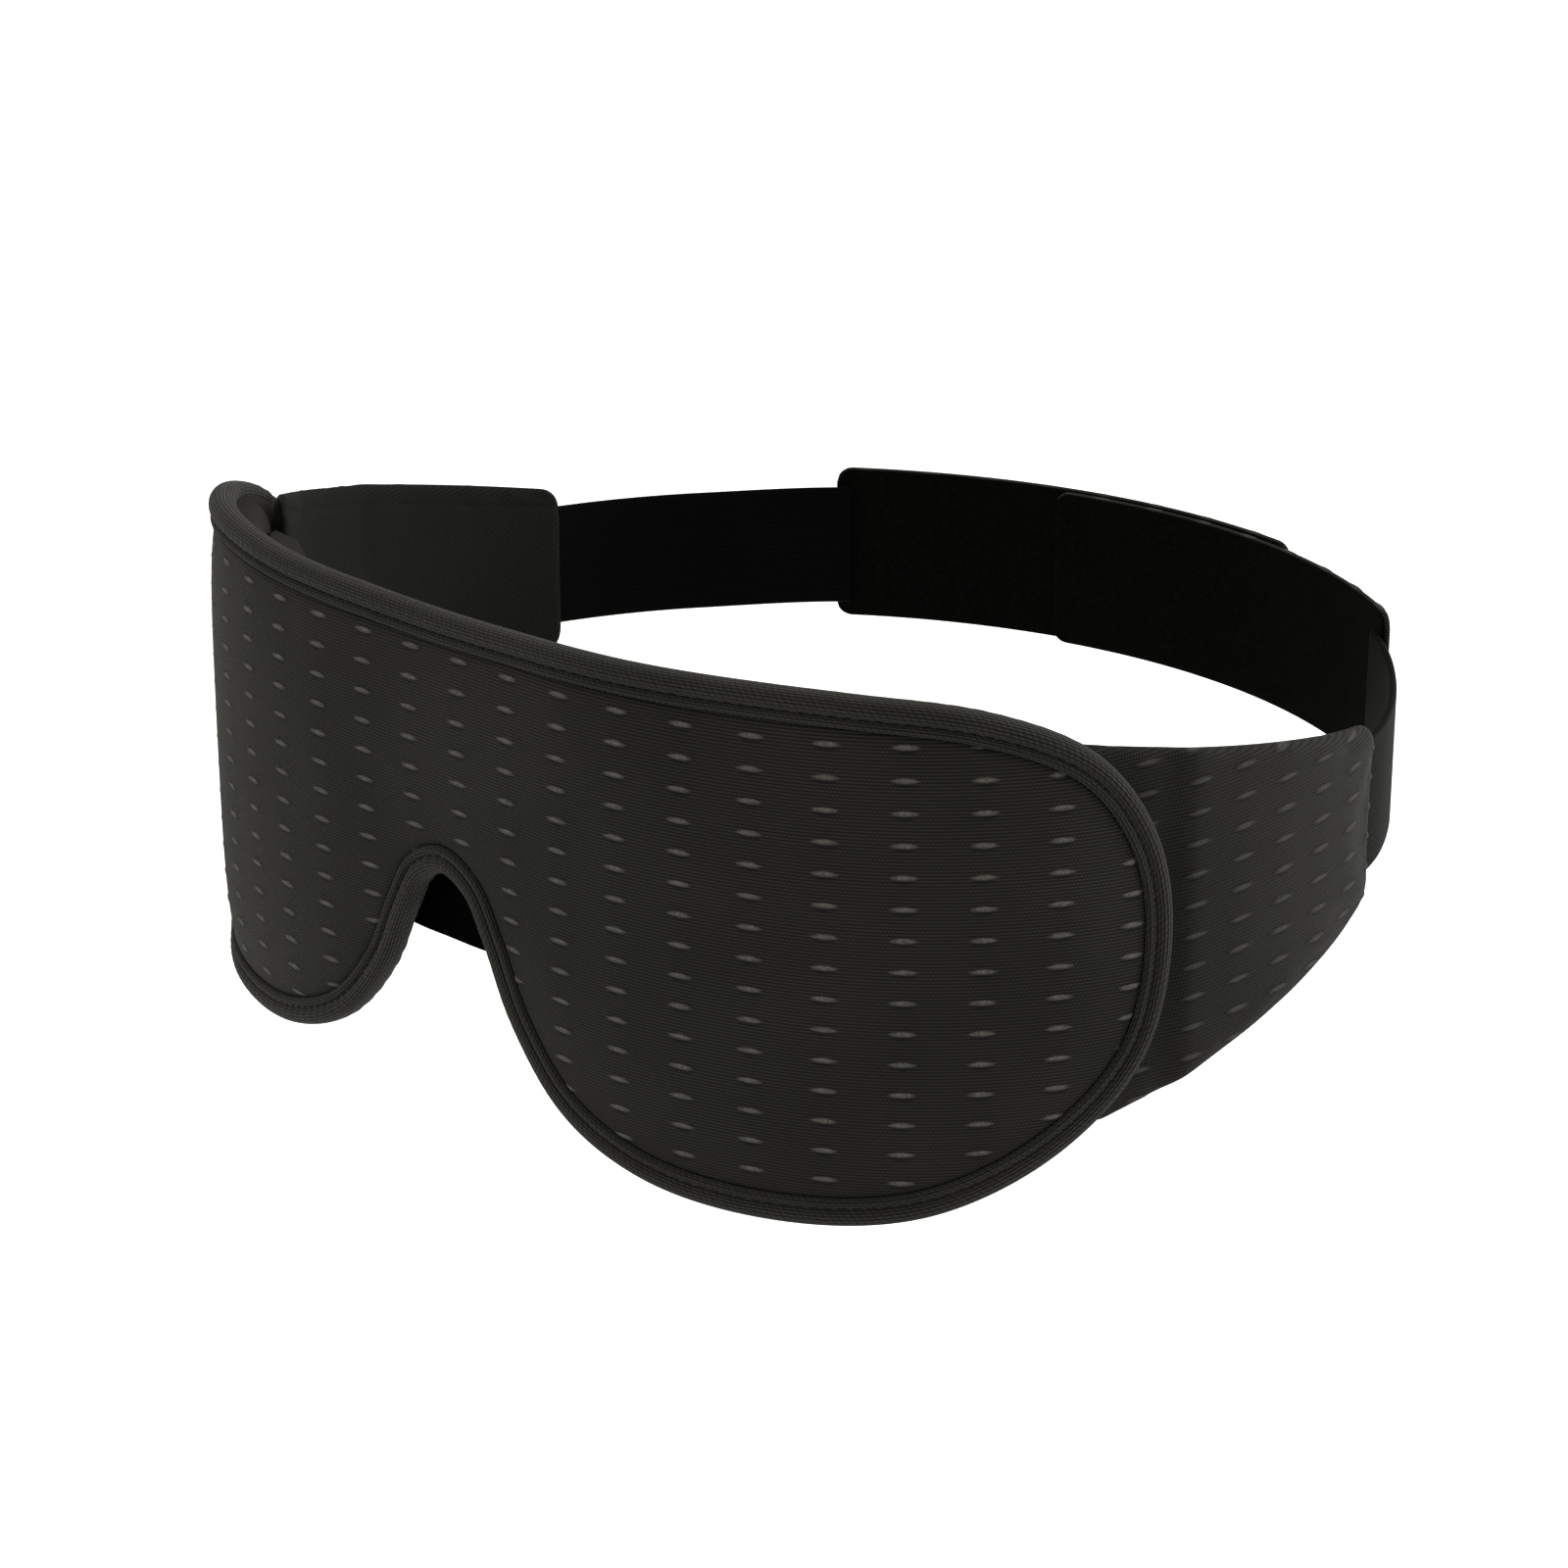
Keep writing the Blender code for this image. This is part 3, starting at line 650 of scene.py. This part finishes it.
def cut_cloth(rings, grid, centres=()):
    """Points and triangles of a cloth inside the stitch line, finer round each given dimple centre."""
    loops = [(OUTLINE - OUTLINE_NORMALS * inset)[::3 + number // 3] for number, inset in enumerate(rings)]
    boundary, points = loops[0], loops[1:]
    first, last = rings[0], rings[-1]
    columns = np.arange(*CLOTH_SPAN, grid / MM) * MM
    rows = np.arange(*CLOTH_HEIGHTS, grid / MM * CLOTH_ROW_RATIO) * MM
    s, z = np.meshgrid(columns, rows)
    s = s + 0.5 * grid * (np.arange(len(s)) % 2)[:, None]
    lattice = np.column_stack([s.ravel(), z.ravel()])
    lattice = lattice[edge_distance(lattice) > last + 0.6 * grid]
    if len(centres):
        away = lattice[:, None, :] - centres[None, :, :]
        scaled = (away[..., 0] / DIMPLE_HALF[0]) ** 2 + (away[..., 1] / DIMPLE_HALF[1]) ** 2
        lattice = lattice[scaled.min(axis=1) > 2.2 ** 2]
        fine = []
        for size, count in DIMPLE_RINGS:
            turn = np.linspace(0.0, 2.0 * math.pi, count, endpoint=False)
            half_length, half_height = size * DIMPLE_HALF[0], size * DIMPLE_HALF[1]
            oval = np.column_stack([half_length * np.cos(turn), half_height * np.sin(turn)])
            fine.append((centres[:, None, :] + oval[None, :, :]).reshape(-1, 2))
        fine = np.vstack(fine)
        points.append(fine[edge_distance(fine) > first + 0.15 * MM])
    points.append(lattice)
    inner = np.vstack(points)
    inner = inner[edge_distance(inner) > first + 0.1 * MM]
    everything = np.vstack([boundary, inner])
    count = len(boundary)
    edges = [(i, (i + 1) % count) for i in range(count)]
    flat = [Vector(p) for p in (everything / MM).tolist()]
    result = geometry.delaunay_2d_cdt(flat, edges, [], 1, 1e-4, False)
    plane = np.array([tuple(p) for p in result[0]]) * MM
    faces = np.array([list(face) for face in result[2]])
    faces = faces[edge_distance(plane[faces].mean(axis=1)) > first - 0.02 * MM]
    return plane, faces


def dimple_centres():
    columns = (np.arange(DIMPLE_COLUMNS) + 0.5) * FRONT_PITCH[0]
    columns = np.concatenate([-columns[::-1], columns])
    rows = FRONT_FIRST_ROW - np.arange(DIMPLE_ROWS) * FRONT_PITCH[1]
    s, z = np.meshgrid(columns, rows)
    centres = np.column_stack([s.ravel(), z.ravel()])
    return centres[edge_distance(centres) > 1.2 * MM]


def front_uv(plane):
    """Cloth coordinates whose cells hold one dimple each."""
    return np.column_stack([plane[:, 0], plane[:, 1] - FRONT_FIRST_ROW + 0.5 * FRONT_PITCH[1]])


def build_face(material):
    """The knitted outer cloth: it dives into the seam at its edge and is raised at each dimple."""
    plane, faces = cut_cloth([r * MM for r in FACE_RINGS], FACE_GRID, dimple_centres())
    inset = edge_distance(plane) - FACE_EDGE
    roll = np.clip(1.0 - inset / FACE_ROLL, 0.0, 1.0)
    depth = FACE_EDGE_DEPTH * (1.0 - np.sqrt(1.0 - roll ** 2))
    depth -= FACE_CROWN * (1.0 - np.exp(-np.maximum(inset, 0.0) / FACE_CROWN_REACH))
    uv = front_uv(plane)
    fade = smooth_step(inset / (1.2 * MM))
    depth -= DIMPLE_RISE * dimple_height(uv[:, 0], uv[:, 1], FRONT_PITCH) * fade
    points = front_points(plane[:, 0], plane[:, 1], depth)
    a, b, c = (points[faces[:, k]] for k in range(3))
    if np.cross(b - a, c - a)[:, 1].sum() > 0.0:
        faces = faces[:, ::-1]
    cover = add_mesh("face_cover", points, faces, material, uv[faces.ravel()])
    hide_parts("face_panel")
    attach(cover, "front")


def build_rim(material):
    """The rolled rim: an oval ring, pulled in at every stitch and gathered where it turns tightly."""
    stations, normals, arc, length = closed_outline(RIM_STEP)
    size = 28
    turn = np.linspace(0.0, 2.0 * math.pi, size, endpoint=False)
    half_width = 0.5 * RIM_WIDTH
    half_depth = 0.5 * (RIM_DEPTH[1] - RIM_DEPTH[0])
    middle = 0.5 * (RIM_DEPTH[1] + RIM_DEPTH[0])
    bend = np.roll(normals, -3, axis=0) - np.roll(normals, 3, axis=0)
    bend = np.linalg.norm(bend, axis=1) / (6 * RIM_STEP)
    gather = np.clip(bend * 14 * MM, 0.0, 1.0)[:, None]
    wave = np.sin(2.0 * math.pi * arc / RIM_GATHER[0] + 1.3 * np.sin(arc / RIM_GATHER[1]))[:, None]
    pull = np.cos(2.0 * math.pi * arc / STITCH_PITCH)[:, None]
    front_side = smooth_step((-np.cos(turn) * 0.6 - np.sin(turn) * 0.8 - 0.2) / 0.8)[None, :]
    back_side = smooth_step((np.sin(turn) + 0.1) / 0.9)[None, :]
    swell = -0.05 * MM * pull * front_side + 0.13 * MM * wave * back_side * gather
    full_cos = np.sign(np.cos(turn)) * np.abs(np.cos(turn)) ** RIM_FULLNESS
    full_sin = np.sign(np.sin(turn)) * np.abs(np.sin(turn)) ** RIM_FULLNESS
    outward = RIM_INNER + half_width + (half_width + swell) * full_cos[None, :]
    depth = middle + (half_depth + swell) * full_sin[None, :]
    s = stations[:, 0:1] + normals[:, 0:1] * outward
    z = stations[:, 1:2] + normals[:, 1:2] * outward
    around = 0.5 * (RIM_WIDTH + 2.0 * half_depth) * 0.5 * np.linspace(0.0, 2.0 * math.pi, size + 1)
    rim = add_ring("rolled_rim", front_points(s, z, depth), material, np.append(arc, length), around)
    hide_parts("rim_binding", "rim_filling")
    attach(rim, "front")


def build_welt(material):
    """The twisted welt in the seam: strands laid slantwise round a soft core."""
    stations, normals, arc, length = closed_outline(WELT_STEP)
    size = 12
    turn = np.linspace(0.0, 2.0 * math.pi, size, endpoint=False)[None, :]
    lay = 2.0 * math.pi * np.round(length / WELT_LAY) * arc[:, None] / length
    strand = 0.16 * (np.abs(np.cos(0.5 * (3.0 * turn - lay))) - 0.6)
    outward = -WELT_INSET + WELT_HALF[0] * (1.0 + strand) * np.cos(turn)
    depth = WELT_DEPTH + WELT_HALF[1] * (1.0 + strand) * np.sin(turn)
    s = stations[:, 0:1] + normals[:, 0:1] * outward
    z = stations[:, 1:2] + normals[:, 1:2] * outward
    around = WELT_HALF[0] * np.linspace(0.0, 2.0 * math.pi, size + 1)
    welt = add_ring("seam_welt_braid", front_points(s, z, depth), material, np.append(arc, length), around)
    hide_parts("seam_welt")
    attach(welt, "front")


def build_rim_stitches(material):
    """The running stitch in the groove between the welt and the rim, each stitch a short laid thread."""
    count = int(OUTLINE_LENGTH / STITCH_PITCH)
    arcs = (np.arange(count) + 0.5) * OUTLINE_LENGTH / count
    half_length = 0.36 * STITCH_PITCH
    size = 6
    turn = np.linspace(0.0, 2.0 * math.pi, size, endpoint=False)
    points, faces = [], []
    for middle in arcs:
        base = len(points)
        steps = np.linspace(-1.0, 1.0, 9)
        number = ((middle + half_length * steps) / OUTLINE_STEP).astype(int) % len(OUTLINE)
        for t, k in zip(steps, number):
            centre = OUTLINE[k] + OUTLINE_NORMALS[k] * (STITCH_OUT + 0.05 * MM * t)
            sink = STITCH_DEPTH + 0.3 * MM * t ** 4
            girth = STITCH_GIRTH * math.sqrt(max(1.0 - t ** 6, 0.08))
            for angle in turn:
                place = centre + OUTLINE_NORMALS[k] * girth * math.cos(angle)
                points.append(front_points(place[0], place[1], sink + girth * math.sin(angle)))
        last = base + size * (len(steps) - 1)
        for a in range(base, last, size):
            for j in range(size):
                k = (j + 1) % size
                faces.append((a + j, a + k, a + size + k, a + size + j))
        faces.append(tuple(base + j for j in reversed(range(size))))
        faces.append(tuple(last + j for j in range(size)))
    thread = add_mesh("seam_stitches", np.array(points), faces, material)
    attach(thread, "front")


def build_lining(material):
    """The lining over the back of the foam: it starts under the rim and rolls out to the pads."""
    plane, faces = cut_cloth([r * MM for r in LINING_RINGS], LINING_GRID)
    inset = edge_distance(plane)
    share = np.clip((inset - LINING_RINGS[0] * MM) / LINING_ROLL, 0.0, 1.0)
    depth = LINING_EDGE_DEPTH + (LINING_DEPTH - LINING_EDGE_DEPTH) * np.sqrt(1.0 - (1.0 - share) ** 2)
    depth += 0.35 * MM * smooth_step((inset - 2.0 * MM) / (4.0 * MM))
    points = front_points(plane[:, 0], plane[:, 1], depth)
    a, b, c = (points[faces[:, k]] for k in range(3))
    if np.cross(b - a, c - a)[:, 1].sum() < 0.0:
        faces = faces[:, ::-1]
    lining = add_mesh("inner_lining", points, faces, material, plane[faces.ravel()])
    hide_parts("front_lining")
    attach(lining, "front")


def pad_reach(angles):
    """Distance from the pad's middle to its outer edge along each bearing."""
    edge = OUTLINE - OUTLINE_NORMALS * PAD_INSET
    edge = edge[OUTLINE[:, 0] > -1e-6]
    edge = np.column_stack([np.clip(edge[:, 0], PAD_NOSE_LIMIT, PAD_TEMPLE_LIMIT), edge[:, 1]])
    centre = np.array(PAD_CENTRE)
    bearing = np.arctan2(edge[:, 1] - centre[1], edge[:, 0] - centre[0])
    reach = np.linalg.norm(edge - centre, axis=1)
    order = np.argsort(bearing)
    found = np.interp(angles, bearing[order], reach[order], period=2.0 * math.pi)
    smooth = sum(np.roll(found, k) for k in range(-2, 3)) / 5.0
    return np.minimum(found, smooth)


def build_eye_pad(name, side, material):
    """A soft ring round the eye: a simulated pad, its base seam pinned."""
    count = 96
    size = 20
    angles = np.linspace(-math.pi, math.pi, count, endpoint=False)
    outer = pad_reach(angles)
    heading = np.column_stack([np.cos(angles), np.sin(angles)])
    hole = 1.0 / np.hypot(heading[:, 0] / PAD_EYE_HOLE[0], heading[:, 1] / PAD_EYE_HOLE[1])
    half, middle = 0.5 * (outer - hole)[:, None], 0.5 * (outer + hole)[:, None]
    dome = np.linspace(0.0, math.pi, size - 4)
    floor = np.linspace(math.pi, 2.0 * math.pi, 6)[1:-1]
    turn = np.concatenate([dome, floor])
    rise = np.where(turn <= math.pi, np.sin(turn), 0.04 * np.sin(turn))[None, :]
    reach = middle + half * np.cos(turn)[None, :]
    s = side * (PAD_CENTRE[0] + heading[:, 0:1] * reach)
    z = PAD_CENTRE[1] + heading[:, 1:2] * reach
    height = PAD_HEIGHT - 0.5 * MM
    sections = front_points(s, z, PAD_BASE + height * rise)
    u = np.linspace(0.0, 0.16, count + 1)
    v = np.linspace(0.0, 0.03, size + 1)
    pad = add_ring(f"eye_pad_{name}", sections, material, u, v)
    pinned = [i * size + j for i in range(count) for j in range(size) if j == 0 or j >= size - 5]
    inflate(pad, pinned, 5.0, 1.2 * MM)
    subdivide(pad)
    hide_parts(f"eye_pad_cover_{name}", f"eye_pad_foam_{name}")
    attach(pad, "front")


def build_nose_flap(material):
    """Thin cloth hung behind the arch, with soft waves and a turned hem."""
    columns = clustered(-FLAP_HALF_WIDTH, FLAP_HALF_WIDTH, 60, 0.4)
    rows = clustered(0.0, 1.0, 34, 0.5)
    x, t = np.meshgrid(columns, rows, indexing="ij")
    low = FLAP_BOTTOM + corner_cut(FLAP_HALF_WIDTH - np.abs(x), FLAP_CORNER)
    z = FLAP_TOP + (low - FLAP_TOP) * t
    wave = 0.22 * MM * t * np.sin(x / (4.6 * MM) + 0.6) + 0.08 * MM * t * np.sin(x / (1.9 * MM))
    hem = 0.5 * (1.0 + np.tanh((FLAP_HEM - np.minimum(z - low, 1.0)) / (0.15 * MM)))
    edge = np.minimum.reduce([z - low, FLAP_TOP - z, FLAP_HALF_WIDTH - np.abs(x)])
    half = (0.22 * MM + 0.1 * MM * hem) * np.sqrt(np.clip(edge / (0.3 * MM), 0.0, 1.0))
    base = -FRONT_Y - FLAP_DEPTH
    outer = np.stack([x, -(base + half) + wave, z], axis=-1)
    inner = np.stack([x, -(base - half) + wave, z], axis=-1)
    uv = np.stack([x, z], axis=-1)
    flap = add_pillow("nose_flap_cloth", outer, inner, material, uv)
    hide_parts("nose_flap")
    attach(flap, "nose_flap")


# ---------------------------------------------------------------- wings, elastics and bands

def strip_distance(along, z, low, high, start, end, corner):
    """Distance to the nearest edge of a strip with rounded corners, both ways measured in metres."""
    ends = np.minimum(along - start, end - along)
    sides = np.minimum(z - low, high - z)
    rounded = corner - np.hypot(np.maximum(corner - ends, 0.0), np.maximum(corner - sides, 0.0))
    return np.maximum(np.minimum(np.minimum(ends, sides), rounded), 0.0)


def wing_edges(angle, side):
    """Lowest and highest z of a wing at an angle of the ring; its root narrows again behind the rim."""
    past = angle - WING_END_ANGLE
    low = WING_BOTTOM[0] + WING_BOTTOM[1] * past + WING_BOTTOM[2] * past * past
    root_low = WING_ROOT_BOTTOM[0] + WING_ROOT_BOTTOM[1] * (angle - WING_ROOT_FROM)
    return np.maximum(low, root_low), WING_TOP[side][0] + WING_TOP[side][1] * past


def build_wing(name, side, material, back):
    """A padded wing from behind the rim to the elastic, knit outside."""
    scale = math.radians(1.0) * 86 * MM
    proud = 0.5 * MM
    angles = clustered(WING_END_ANGLE - 0.25, WING_ROOT_END, 76, 0.35)
    angle, t = np.meshgrid(angles, clustered(0.0, 1.0, 66, 0.35), indexing="ij")
    low, high = wing_edges(angle, side)
    low, high = low - proud, high + proud
    along = (angle - angles[0]) * scale
    cut = corner_cut(along, WING_CORNER)
    z = low + cut + (high - low - 2.0 * cut) * t
    edge = strip_distance(along, z, low, high, 0.0, along.max(), WING_CORNER)
    round_edge = np.sqrt(1.0 - (1.0 - np.clip(edge / WING_EDGE_ROUND, 0.0, 1.0)) ** 2)
    root = smooth_step((angle - 93.0) / 3.0)
    half = (WING_HALF_THICKNESS - 0.5 * MM * root) * round_edge
    radius = wing_radius(angle, side)
    border = 0.3 * MM * np.exp(-((high - z - 2.9 * MM) / (0.4 * MM)) ** 2)
    outer = polar_points(angle, radius + half, z, side)
    inner = polar_points(angle, radius - half + np.minimum(border, 0.5 * half), z, side)
    u = (WING_FIRST_COLUMN - angle) * scale
    v = z - WING_FIRST_ROW - WING_SLANT * u
    uv = np.stack([u + 0.5 * WING_PITCH[0], v + 0.5 * WING_PITCH[1]], axis=-1)
    wing = add_pillow(f"wing_{name}_padded", outer, inner, material, uv, back)
    pinned = np.flatnonzero(pillow_edge(wing, radius, z, angle, side))
    inflate(wing, pinned, 3.0, 0.4 * MM)
    subdivide(wing)
    emboss(wing, WING_PITCH, (0.0, RING_CENTRE_Y))
    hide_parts(f"wing_cover_{name}", f"wing_lining_{name}", f"wing_root_{name}", f"wing_foam_{name}")
    start, end = (polar_points(a, wing_radius(a, side), 0.0, side) for a in WING_BLEND)
    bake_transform(wing)


def pillow_edge(obj, radius, z, angle, side):
    """Marks the points of a pillow that lie on its outline."""
    mesh = obj.data
    middle = polar_points(angle, radius, z, side)
    outline = np.concatenate([middle[0], middle[-1], middle[:, 0], middle[:, -1]])
    keys = {tuple(np.round(p, 6)) for p in outline}
    return np.array([tuple(np.round(np.array(vertex.co), 6)) in keys for vertex in mesh.vertices])


def emboss(obj, pitch, centre):
    """Raises the dimple lattice on the side of a pad that faces away from the centre."""
    mesh = obj.data
    count = len(mesh.vertices)
    places, normals = np.zeros(3 * count), np.zeros(3 * count)
    mesh.vertices.foreach_get("co", places)
    mesh.vertex_normals.foreach_get("vector", normals)
    places, normals = places.reshape(-1, 3), normals.reshape(-1, 3)
    corner_vertex = np.zeros(len(mesh.loops), int)
    mesh.loops.foreach_get("vertex_index", corner_vertex)
    uv = np.zeros(2 * len(mesh.loops))
    mesh.uv_layers["cloth"].data.foreach_get("uv", uv)
    vertex_uv = np.zeros((count, 2))
    vertex_uv[corner_vertex] = uv.reshape(-1, 2)
    out = places[:, :2] - np.array(centre)
    facing = (out * normals[:, :2]).sum(axis=1) / np.linalg.norm(out, axis=1)
    height = dimple_height(vertex_uv[:, 0], vertex_uv[:, 1], pitch) * smooth_step((facing - 0.2) / 0.5)
    mesh.vertices.foreach_set("co", (places + normals * (DIMPLE_RISE * height)[:, None]).ravel())
    mesh.update()


def strap_pillow(name, side, start, end, half_height, corner, middle, thickness, edge_round, sizes, material,
                 radius=None, centre_v=0.0):
    """A flat piece of strap with rounded edges between two angles; middle is its offset from the ring."""
    scale = math.radians(1.0) * RING_RADIUS
    angles = clustered(start, end, sizes[0], 0.3)
    angle, t = np.meshgrid(angles, clustered(-1.0, 1.0, sizes[1], 0.5), indexing="ij")
    along = np.abs(angle - start) * scale
    total = abs(end - start) * scale
    cut = corner_cut(np.minimum(along, total - along), corner)
    z = STRAP_Z + (half_height - cut) * t
    edge = strip_distance(along, z, STRAP_Z - half_height, STRAP_Z + half_height, 0.0, total, corner)
    half = 0.5 * thickness * np.sqrt(1.0 - (1.0 - np.clip(edge / edge_round, 0.0, 1.0)) ** 2)
    base = ring_radius(angle, side) if radius is None else radius
    outer = polar_points(angle, base + middle + half, z, side)
    inner = polar_points(angle, base + middle - half, z, side)
    uv = np.stack([along, z - STRAP_Z + centre_v], axis=-1)
    return add_pillow(name, outer, inner, material, uv)


def build_elastic(name, side, material):
    """The plain elastic from inside its wing to its band."""
    tape = strap_pillow(f"elastic_tape_{name}", side, STRAP_FOLD_ANGLE + 1.6, ELASTIC_END_ANGLE,
                        ELASTIC_HALF_HEIGHT, 0.5 * MM, 0.0, 1.0 * MM, 0.5 * MM, (90, 40), material)
    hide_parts(f"elastic_{name}")
    bends = (STRAP_FOLD_ANGLE - 1.0, BAND_ANGLES[0] + 0.6)
    start, end = (polar_points(a, ring_radius(a, side), 0.0, side) for a in bends)
    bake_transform(tape)


def build_band(name, side, knit, lining):
    """A closure band: an embossed outer shell and a thin lining, both at the radius of its end."""
    radius = float(ring_radius(min(abs(a) for a in BAND_ANGLES), side))
    shell = strap_pillow(f"band_shell_{name}", side, *BAND_ANGLES, BAND_HALF_HEIGHT + 0.2 * MM, BAND_CORNER,
                         BAND_SHELL_MIDDLE, 0.9 * MM, BAND_EDGE_ROUND, (150, 60), knit, radius,
                         0.5 * FRONT_PITCH[1])
    emboss(shell, FRONT_PITCH, (0.0, RING_CENTRE_Y))
    inner = strap_pillow(f"band_inner_{name}", side, BAND_ANGLES[0] - 0.1, BAND_ANGLES[1] + 0.1,
                         BAND_HALF_HEIGHT, BAND_CORNER, BAND_INNER_MIDDLE, 0.5 * MM, BAND_EDGE_ROUND,
                         (110, 40), lining, radius)
    for piece, node, slot_name in ((shell, "cover", "embossed_knit"), (inner, "lining", "lining")):
        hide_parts(f"band_{node}_{name}")
        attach(piece, f"band_{name}")


# ---------------------------------------------------------------- camera, floor and light

def add_camera():
    azimuth, elevation = CAMERA_AZIMUTH, CAMERA_ELEVATION
    forward = Vector((-math.sin(azimuth) * math.cos(elevation), math.cos(azimuth) * math.cos(elevation),
                      -math.sin(elevation)))
    right = Vector((math.cos(azimuth), math.sin(azimuth), 0.0))
    up = right.cross(forward)
    camera = bpy.data.objects.new("camera", bpy.data.cameras.new("camera"))
    camera.data.sensor_width = 36.0
    camera.data.lens = CAMERA_LENS
    camera.data.clip_start = 0.01
    axes = Matrix((right, up, -forward)).transposed().to_4x4()
    camera.matrix_world = Matrix.Translation(CAMERA_TARGET - forward * CAMERA_DISTANCE) @ axes
    bpy.context.scene.collection.objects.link(camera)
    bpy.context.scene.camera = camera


def add_floor():
    low = cad_box[0][2] - FLOOR_DROP
    points = [(x, y, low) for x, y in ((-4.0, -4.0), (4.0, -4.0), (4.0, 4.0), (-4.0, 4.0))]
    shader = Shader("pale_floor")
    shader.principled.inputs["Base Color"].default_value = (0.92, 0.92, 0.92, 1.0)
    shader.principled.inputs["Roughness"].default_value = 0.9
    shader.principled.inputs["Specular IOR Level"].default_value = 0.1
    floor = add_mesh("floor", np.array(points), [(0, 1, 2, 3)], shader.material)


def add_light(name, place, target, size, power):
    lamp = bpy.data.lights.new(name, "AREA")
    lamp.shape = "RECTANGLE"
    lamp.size, lamp.size_y = size
    lamp.energy = power
    obj = bpy.data.objects.new(name, lamp)
    obj.location = place
    obj.rotation_euler = (Vector(target) - Vector(place)).to_track_quat("-Z", "Y").to_euler()
    bpy.context.scene.collection.objects.link(obj)


def add_studio():
    scene = bpy.context.scene
    world = bpy.data.worlds.new("studio")
    world.use_nodes = True
    world.node_tree.nodes["Background"].inputs[0].default_value = (1.0, 0.98, 0.92, 1.0)
    world.node_tree.nodes["Background"].inputs[1].default_value = 1.25
    scene.world = world
    scene.view_settings.view_transform = "Standard"
    add_light("key", (-0.7, -0.9, 1.1), (0.0, 0.0, 0.0), (0.9, 0.9), 5.0)
    add_light("fill", (0.9, 1.4, 0.5), (0.0, 0.0, 0.0), (0.8, 0.8), 38.0)


# ---------------------------------------------------------------- the whole mask

def build_mask():
    front_dark, front_light = (0.0030, 0.0029, 0.0026), (0.0145, 0.0139, 0.0126)
    wing_dark, wing_light = (0.0034, 0.0033, 0.0029), (0.0104, 0.0100, 0.0090)
    # The last colour of each knit is the painted highlight on its dimple crowns: brightest on the front,
    # dimmer on the wings and bands.
    front_knit = knit_material("front_knit", FRONT_PITCH, (0.52 * MM, 0.45 * MM), 0.5, 0.15, front_dark,
                               front_light, (0.104, 0.101, 0.092))
    wing_knit = knit_material("wing_knit", WING_PITCH, (0.46 * MM, 0.5 * MM), -0.3, -0.55, wing_dark,
                              wing_light, (0.044, 0.0425, 0.0385))
    band_knit = knit_material("band_knit", FRONT_PITCH, (0.52 * MM, 0.45 * MM), 0.5, 0.15, front_dark,
                              front_light, (0.050, 0.048, 0.043))
    rim_twill = twill_material("rim_twill", (0.95 * MM, 0.46 * MM), 0.35, 0.25,
                               (0.0036, 0.0035, 0.0032), (0.0215, 0.0208, 0.0189), depth=0.2)
    welt_twill = twill_material("welt_twill", (0.9 * MM, 0.4 * MM), 0.4, 0.3,
                                (0.0036, 0.0035, 0.0032), (0.0200, 0.0194, 0.0177), depth=0.2)
    lining = brushed_material("brushed_lining", (0.0007, 0.0007, 0.0006), (0.0022, 0.0021, 0.0019), sheen=0.0)
    soft_lining = brushed_material("soft_lining", (0.0070, 0.0067, 0.0061), (0.0135, 0.0130, 0.0118),
                                   sheen=0.02)
    # The nose flap's cloth is painted near-black as shade: it hangs in the shadow behind the nose arch.
    flap_cloth = brushed_material("flap_cloth", (0.0003, 0.0003, 0.0003), (0.0009, 0.0009, 0.0008), sheen=0.0)
    elastic = woven_material("woven_elastic", (0.8 * MM, 0.9 * MM), (0.0003, 0.0003, 0.0003),
                             (0.0013, 0.0012, 0.0011))
    wing_lining = twill_material("wing_lining", (0.8 * MM, 0.5 * MM), 0.5, 1.0, (0.0011, 0.0010, 0.0009),
                                 (0.0038, 0.0036, 0.0033), depth=0.08, sheen=0.0)
    thread = thread_material()
    build_face(front_knit)
    build_rim(rim_twill)
    build_welt(welt_twill)
    build_rim_stitches(thread)
    build_lining(soft_lining)
    build_nose_flap(flap_cloth)
    for name, side in SIDES.items():
        build_eye_pad(name, side, soft_lining)
        build_wing(name, side, wing_knit, wing_lining)
        build_band(name, side, band_knit, lining)
        build_elastic(name, side, elastic)
    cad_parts["hook_patch"].data.materials.clear()
    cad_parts["hook_patch"].data.materials.append(hook_material())
    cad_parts["foam_core"].data.materials.clear()
    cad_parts["foam_core"].data.materials.append(foam_material())


add_camera()
add_floor()
add_studio()
build_mask()
